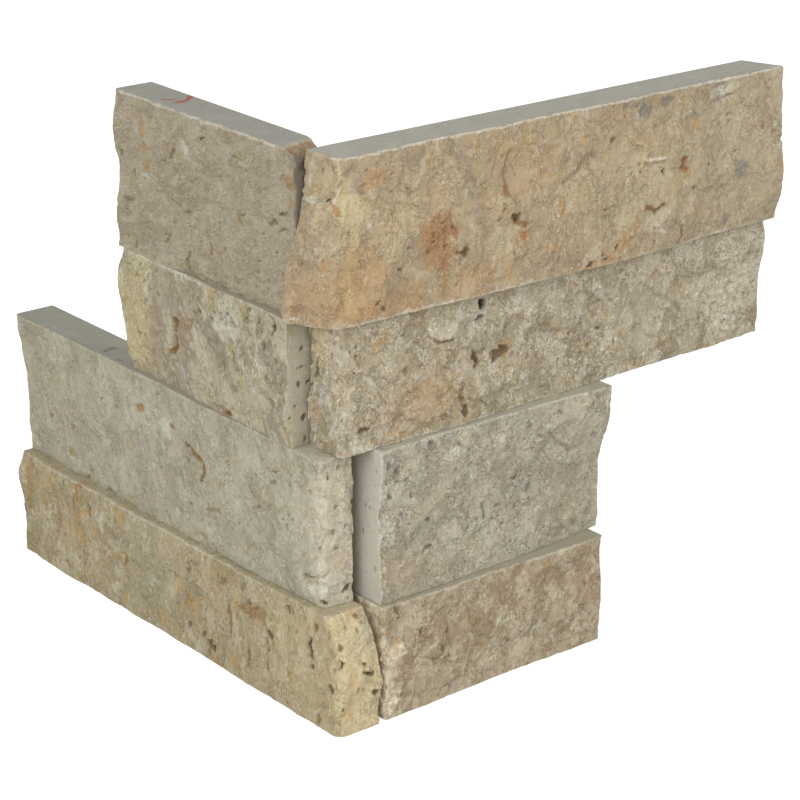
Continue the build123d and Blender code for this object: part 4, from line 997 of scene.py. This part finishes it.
# Second course, right leg: grey beige, proud of the course above
greyStrip = {
    "label": "greyStrip", "node": "course_2_right_strip", "slot": "grey_travertine",
    "finish": "grey split travertine", "leg": "right", "splitEnd": False, "seed": 21,
    "wear": sawnWear, "relief": commonRelief,
    "look": dict(
        commonLook, base="#aaa28d", pale="#c4bfaf", lean=26, stretch=1.1, sawn="#aca796", sawnCloud="#a39e8c",
        contrast=0.50,
        clouds=[
            ("#978f7e", 8, 0.49, 0.55, 0.8), ("#b3ac9a", 6, 0.53, 0.59, 0.8), ("#a4885f", 5, 0.63, 0.69, 0.45),
            ("#7f7563", 1.8, 0.61, 0.67, 0.6), ("#c2beae", 1.6, 0.618, 0.672, 0.6),
            ("#855b36", 1.0, 0.693, 0.738, 0.45), ("#6c6d6d", 0.9, 0.55, 0.63, 0.7, 8),
            ("#80603e", 0.8, 0.58, 0.66, 0.5, 9), ("#454340", 0.6, 0.58, 0.64, 0.85, 7),
            ("#ccc9bc", 0.8, 0.58, 0.66, 0.55, 8),
        ]),
    "marks": [
        (13, 37.5, 19, 14, 0, 0.6, 0.05, "#957d61", 0.4), (73, 43, 24, 28, 0, 0.6, 0.0, "#968c77", 0.5),
        (27, 68, 5, 3, 0, 0.5, 0.0, "#c4c0b2", 0.6),
        *alike(0.4, 0.3, "#4e4a43", 0.75, (6, 70, 2.6, 1.6, 20), (9, 67.5, 2, 1.5)),
        (5, 66.4, 1.6, 1.3, 0, 0.4, 0.3, "#4e4a43", 0.7),
        *alike(0.4, 0.3, "#4e4a43", 0.75, (14, 60, 1.5, 1.5), (7, 61, 1.5, 1.3), (21, 72, 1.9, 1.3)),
        (30, 70, 1.9, 1.4, 0, 0.4, 0.3, "#55514a", 0.7), (21, 50.5, 2, 1.8, 0, 0.3, 0.5, "#55402a", 0.85),
        ([(18.6, 43.2), (21.6, 43.5)], 1.1, 0.4, 0.4, "#5b4830", 0.8),
        (11, 55, 1.3, 1.3, 0, 0.4, 0.3, "#55514a", 0.75), (34, 45, 1.9, 1.8, 0, 0.4, 0.25, "#64645f", 0.75),
        *alike(0.4, 0.3, "#5d5850", 0.75, ([(40, 50), (40.2, 46.4)], 1.0), (45, 48.5, 1.5, 1.3),
         (46.5, 42.5, 1.5, 1.3), (53, 47.5, 1.4, 1.4)),
        (56, 51, 2.2, 2, 0, 0.4, 0.25, "#61636a", 0.75), (65, 71, 1.7, 1.3, 0, 0.4, 0.3, "#55514a", 0.75),
        ([(61, 66.2), (65, 62.5), (70, 58)], 0.9, 0.5, 0.3, "#7b715f", 0.65),
        *alike(0.5, 0.25, "#776d5c", 0.6, ([(51, 47), (53, 43)], 0.8), ([(72.5, 65), (75, 69)], 0.8)),
        (3.8, 31.9, 1.6, 1.2, 0, 0.4, 0.2, "#9a6c3c", 0.8),
        ([(2, 73.8), (40, 73.8), (76, 73.8)], 0.8, 0.6, 0.0, "#c6c1b2", 0.3),
    ],
    "endMarks": [
        # the first mark lightens the whole sawn end at the corner: painted light over the shade that falls there
        (5, 53, 44, 90, 0, 0.2, 0.0, "#bfbaad", 0.85),
        *alike(0.4, 0.2, "#74757a", 0.7, (9, 57.5, 1.2, 1.2), (11, 57.2, 1.3, 1.1), (8, 50, 1.3, 1.2)),
        (12.5, 64, 1.1, 1.1, 0, 0.4, 0.2, "#74757a", 0.6), (13, 41, 1.2, 1.2, 0, 0.4, 0.2, "#7d7361", 0.7),
    ],
}

# Bottom course, left leg: yellow ochre with rusty streaks and open pores, passes the corner
ochreStrip = {
    "label": "ochreStrip", "node": "course_1_left_strip", "slot": "ochre_travertine",
    "finish": "ochre split travertine", "leg": "left", "splitEnd": True, "seed": 12, "roughTop": 200,
    "wear": dict(commonWear, top=0.5, chips=0.5, bed=0.05),
    "relief": dict(commonRelief, **{"Pit share": 0.09, "Pit stretch": 0.7}),
    "look": dict(
        commonLook, base="#a4987a", pale="#c6bfa9", lean=-8, stretch=2.0, sawn="#aca084", sawnCloud="#a08f6f",
        contrast=0.40,
        clouds=[
            ("#95896c", 8, 0.49, 0.55, 0.8), ("#b1a990", 6, 0.53, 0.59, 0.8), ("#b69048", 5, 0.59, 0.65, 0.6),
            ("#786544", 1.8, 0.61, 0.67, 0.6), ("#c3bda6", 1.7, 0.618, 0.672, 0.6),
            ("#b38124", 1.2, 0.665, 0.715, 0.55), ("#7b7c77", 0.9, 0.57, 0.65, 0.6, 10),
            ("#ab7b24", 0.9, 0.55, 0.63, 0.45, 9), ("#564832", 0.7, 0.59, 0.65, 0.85, 7),
            ("#cbc6b2", 0.8, 0.57, 0.65, 0.6, 8),
        ]),
    "marks": [
        (69, 16, 22, 34, 0, 0.6, 0.0, "#9b9880", 0.55), (-6, 16, 36, 36, 0, 0.6, 0.0, "#bcae88", 0.5),
        ([(130, 14), (130.5, 22), (129.5, 29)], 3.4, 0.5, 0.3, "#9a7b47", 0.6),
        (123, 20, 2.2, 6, 0, 0.5, 0.3, "#9a7d4b", 0.55), (118, 28, 2.6, 4.4, 0, 0.5, 0.2, "#a88a4a", 0.65),
        ([(116, 9), (115.4, 17), (116.2, 26)], 1.8, 0.5, 0.3, "#866c45", 0.55),
        ([(106, 19), (106.4, 28)], 2.8, 0.5, 0.3, "#957145", 0.65),
        ([(103, 14), (102.4, 22), (103, 27)], 3.6, 0.5, 0.35, "#a68648", 0.6),
        ([(104.6, 25), (104.4, 29.5), (101.8, 31)], 1.6, 0.4, 0.3, "#a2703a", 0.7),
        (97, 25, 1.9, 3, 0, 0.4, 0.5, "#5f4b30", 0.8), (90, 24, 4.2, 6.2, 0, 0.5, 0.0, "#c7c2b2", 0.65),
        (89, 15, 3, 4, 0, 0.5, 0.0, "#c7c2b2", 0.6), (85, 5, 4, 3, 0, 0.5, 0.0, "#c3bdab", 0.6),
        (79.5, 13, 2.7, 8, 4, 0.3, 1.0, "#76552b", 0.9), (79.8, 16, 1.6, 3, 0, 0.4, 0.3, "#a87638", 0.7),
        ([(77.5, 20), (79, 22.6), (80.6, 20.6)], 0.9, 0.5, 0.2, "#7b776b", 0.7),
        *alike(0.4, 0.3, "#5f5038", 0.8, (102, 7, 1.6, 1.3), (104.4, 8, 1.2, 1.1)),
        (65, 14, 2.2, 1.8, 0, 0.5, 0.0, "#b1b3ad", 0.6), (46, 26, 4.2, 3, 0, 0.5, 0.4, "#66624f", 0.65),
        *alike(0.3, 0.6, "#5c4a30", 0.85, (48, 7, 1.9, 1.7), (41, 7, 1.9, 1.6)),
        (38.5, 4.5, 4.2, 3.2, 0, 0.3, 1.1, "#4e3c25", 0.9), (27, 5, 3.2, 6.2, 0, 0.5, 0.2, "#ab8748", 0.65),
        ([(28, 20.5), (27.6, 16), (28.4, 11.5)], 0.9, 0.4, 0.5, "#6a5433", 0.8),
        (17, 22.5, 13, 5, -10, 0.4, 0.8, "#8a6c42", 0.75), (10.5, 18.5, 2.7, 3.2, 0, 0.3, 1.1, "#4a3823", 0.9),
        ([(11.5, 16.5), (11.8, 12), (11.3, 8)], 1.0, 0.4, 0.6, "#634c2d", 0.85),
        (1.5, 11.5, 1.6, 1.8, 0, 0.3, 0.7, "#362a1c", 0.9), (4, 28, 1.8, 1.6, 0, 0.3, 0.5, "#5f4a2e", 0.8),
        ([(20, 10.3), (20.2, 5.5)], 1.1, 0.4, 0.4, "#6a5433", 0.8),
        (-9, 27.5, 2, 1.7, 0, 0.3, 0.5, "#5f4a2e", 0.8), (-7.5, 21, 1.8, 4.2, 0, 0.3, 1.0, "#30261a", 0.92),
        (-8.5, 17, 1.7, 1.6, 0, 0.3, 0.7, "#453521", 0.88), (-17, 13, 3.2, 1.4, 0, 0.3, 0.7, "#4a3823", 0.88),
        (-19.5, 20, 2.2, 3.2, 0, 0.3, 0.8, "#4f3c26", 0.88), (-11, 2.4, 2.2, 3, 0, 0.4, 0.7, "#5a452a", 0.8),
        (55, 20, 3, 1.6, 10, 0.4, 0.4, "#776443", 0.7), (33, 26, 2, 1.6, 0, 0.4, 0.4, "#6e5a3b", 0.75),
        (110, 4, 3, 1.6, 0, 0.4, 0.4, "#78633e", 0.7), (134, 8, 3, 4, 0, 0.5, 0.1, "#b5ab8e", 0.6),
        ([(20, 31.1), (60, 31.1), (128, 31.1)], 0.7, 0.6, 0.0, "#cbc5b1", 0.4),
    ],
    "endMarks": [
        (8, 15, 20, 38, 0, 0.4, 0.0, "#cdbd96", 0.75),
        ([(10, 18), (10.3, 11), (9.8, 5)], 1.2, 0.6, 0.1, "#b89058", 0.5),
        (5, 19, 1.8, 1.6, 0, 0.3, 0.7, "#4f3d27", 0.88),
        ([(6, 17.2), (3, 15.7)], 1.1, 0.35, 0.7, "#3b2e1f", 0.88),
        (4, 16.4, 1.6, 1.2, 0, 0.3, 0.6, "#4f3d27", 0.85), (1.8, 10, 1.8, 2.2, 0, 0.3, 0.9, "#463523", 0.88),
        (3, 30, 1.6, 1.4, 0, 0.3, 0.5, "#6a5335", 0.8), (2, 28, 1.8, 1.5, 0, 0.4, 0.5, "#7a6240", 0.75),
        (5, 27.4, 1.5, 1.5, 0, 0.4, 0.5, "#7a6240", 0.7), (7.4, 28.4, 1.4, 1.2, 0, 0.4, 0.4, "#7a6240", 0.7),
        (13.5, 21, 1.4, 2.4, 0, 0.3, 0.8, "#46341f", 0.88), (12, 7, 2.6, 2, 0, 0.4, 0.2, "#b07c3d", 0.7),
        (12, 24.5, 1.5, 1.4, 0, 0.3, 0.5, "#6a5335", 0.8),
    ],
}

# Bottom course, right leg: taupe, with slanting streaks. What shows of its end at the corner is rough
taupeStrip = {
    "label": "taupeStrip", "node": "course_1_right_strip", "slot": "taupe_travertine",
    "finish": "taupe split travertine", "leg": "right", "splitEnd": True, "seed": 11,
    "wear": dict(commonWear, corner=(0.8, 1.8)), "relief": dict(commonRelief, **{"Flake height": 2.0}),
    "look": dict(
        commonLook, base="#a5977f", pale="#c2baa5", lean=30, stretch=1.5, sawn="#a1967e", contrast=0.44,
        clouds=[
            ("#928165", 8, 0.49, 0.55, 0.85), ("#b3aa92", 5, 0.53, 0.59, 0.8), ("#aa8550", 5, 0.61, 0.67, 0.5),
            ("#7b6446", 1.8, 0.61, 0.67, 0.6), ("#c0b9a2", 1.6, 0.618, 0.672, 0.6),
            ("#96622a", 1.0, 0.693, 0.738, 0.45), ("#6f7274", 0.9, 0.57, 0.65, 0.6, 9),
            ("#94632e", 0.8, 0.58, 0.66, 0.55, 8), ("#52473d", 0.6, 0.60, 0.66, 0.8, 7),
            ("#c6c1b0", 0.8, 0.58, 0.66, 0.6, 7),
        ]),
    "marks": [
        *alike(0.6, 0.2, "#8c785b", 0.6, (43, 26, 7, 9.5, -20), (31, 18, 8, 8.5, -20), (73, 21, 7, 9.5, -20)),
        (65, 22, 5, 6, -20, 0.6, 0.1, "#8f7b5d", 0.55),
        *alike(0.4, 0.4, "#594a37", 0.8, (24, 19, 1.7, 1.6), (16, 21, 1.6, 1.5)),
        ([(7, 31), (8, 27.5)], 0.9, 0.4, 0.4, "#68563f", 0.75),
        *alike(0.5, 0.1, "#837f74", 0.6, (6.5, 5, 4, 2.6), (25, 4, 3, 2.4)),
        ([(43.4, 9), (45, 11), (46.8, 9.2)], 0.8, 0.5, 0.2, "#7b6a50", 0.65),
        *alike(0.5, 0.0, "#bdbdb4", 0.65, ([(50, 8), (53.5, 13)], 1.2), ([(54, 7.5), (57.5, 12.5)], 1.2)),
        ([(20, 6), (26, 15)], 1.6, 0.6, 0.2, "#92826a", 0.5),
        ([(56, 18), (61, 26)], 1.6, 0.6, 0.2, "#8e7c60", 0.5),
        ([(36, 4), (41, 12)], 1.4, 0.6, -0.1, "#b7ac94", 0.55),
        ([(12, 8), (18, 17)], 1.4, 0.6, -0.1, "#b7ac94", 0.5),
        ([(4, 31.1), (40, 31.1), (76, 31.1)], 0.7, 0.6, 0.0, "#c6bfab", 0.35),
    ],
    "endMarks": [
        # the first mark lightens the sawn end at the corner: painted light over the shade in its gap beside the
        # left strip
        (8, 15, 26, 44, 0, 0.3, 0.0, "#dccfb4", 0.9), (9, 28, 5, 3, 0, 0.5, 0.1, "#a0845c", 0.5),
        (12, 20, 3, 5, 0, 0.5, 0.1, "#a38a66", 0.5), (10.5, 9, 4, 4, 0, 0.5, 0.2, "#8a7c67", 0.5),
    ],
}

for strip in (ochreStrip, taupeStrip, paleStrip, greyStrip, bandedStrip, mottledStrip, beigeStrip, peachStrip):
    placeStrip(strip)

# Floor, light and camera

studio = {
    "floorSize": 8.0, "floorColour": "#ecebe9", "floorLift": 0.62, "worldStrength": 0.40,
    # name: place aimed from, power in watts, width
    "lamps": {"softKey": ((-1.3, -0.6, 1.05), 21.5, 1.3), "softFill": ((0.5, -1.45, 0.95), 12.7, 1.3)},
    "aim": (0.0, 0.0, 0.07),
}


def buildStudio():
    half = studio["floorSize"] / 2
    mesh = bpy.data.meshes.new("floor")
    mesh.from_pydata([(-half, -half, 0), (half, -half, 0), (half, half, 0), (-half, half, 0)], [], [(0, 1, 2, 3)])
    floor = bpy.data.objects.new("floor", mesh)
    bpy.context.scene.collection.objects.link(floor)
    material = bpy.data.materials.new("matt white paper")
    material.use_nodes = True
    tree = material.node_tree
    tree.nodes.clear()
    paper = addNode(tree, "ShaderNodeBsdfDiffuse", {"Color": linear(studio["floorColour"])})
    # the camera alone sees the paper lit up to white, and its shadow stays
    lift = addNode(tree, "ShaderNodeEmission", {"Color": [1, 1, 1, 1], "Strength": studio["floorLift"]})
    seen = addNode(tree, "ShaderNodeLightPath", {})
    either = addNode(tree, "ShaderNodeMath", {
        "Value": seen.outputs["Is Camera Ray"], "Value_001": seen.outputs["Is Glossy Ray"]}, operation="MAXIMUM")
    lifted = addNode(tree, "ShaderNodeAddShader", {"Shader": paper, "Shader_001": lift})
    chosen = addNode(tree, "ShaderNodeMixShader", {"Fac": either, "Shader": paper, "Shader_001": lifted})
    addNode(tree, "ShaderNodeOutputMaterial", {"Surface": chosen})
    mesh.materials.append(material)

    world = bpy.data.worlds.new("studio")
    bpy.context.scene.world = world
    world.use_nodes = True
    tree = world.node_tree
    tree.nodes.clear()
    seen = addNode(tree, "ShaderNodeLightPath", {})
    either = addNode(tree, "ShaderNodeMath", {
        "Value": seen.outputs["Is Camera Ray"], "Value_001": seen.outputs["Is Transmission Ray"]},
        operation="MAXIMUM")
    strength = addNode(tree, "ShaderNodeMapRange", {"Value": either, "To Min": studio["worldStrength"]})
    light = addNode(tree, "ShaderNodeBackground", {"Color": [1, 1, 1, 1], "Strength": strength})
    addNode(tree, "ShaderNodeOutputWorld", {"Surface": light})

    for name, (place, power, width) in studio["lamps"].items():
        lamp = bpy.data.lights.new(name, "AREA")
        lamp.energy, lamp.size = power, width
        holder = bpy.data.objects.new(name, lamp)
        holder.matrix_world = Matrix.Translation(place) @ (
            Vector(studio["aim"]) - Vector(place)).to_track_quat("-Z", "Y").to_matrix().to_4x4()
        bpy.context.scene.collection.objects.link(holder)


view = {
    "place": (-0.39599, -0.52212, 0.33300), "lens": 123.22, "sensor": 36.0,
    "turn": 38.695, "down": 20.744, "roll": 0.271,
}


def placeCamera():
    camera = bpy.data.objects.new("camera", bpy.data.cameras.new("camera"))
    camera.data.lens, camera.data.sensor_width = view["lens"], view["sensor"]
    camera.matrix_world = (
        Matrix.Translation(view["place"]) @ Matrix.Rotation(radians(-view["turn"]), 4, "Z")
        @ Matrix.Rotation(radians(90 - view["down"]), 4, "X") @ Matrix.Rotation(radians(view["roll"]), 4, "Z"))
    bpy.context.scene.collection.objects.link(camera)
    bpy.context.scene.camera = camera


buildStudio()
placeCamera()
bpy.context.scene.view_settings.view_transform = "Standard"
print("studio ready")
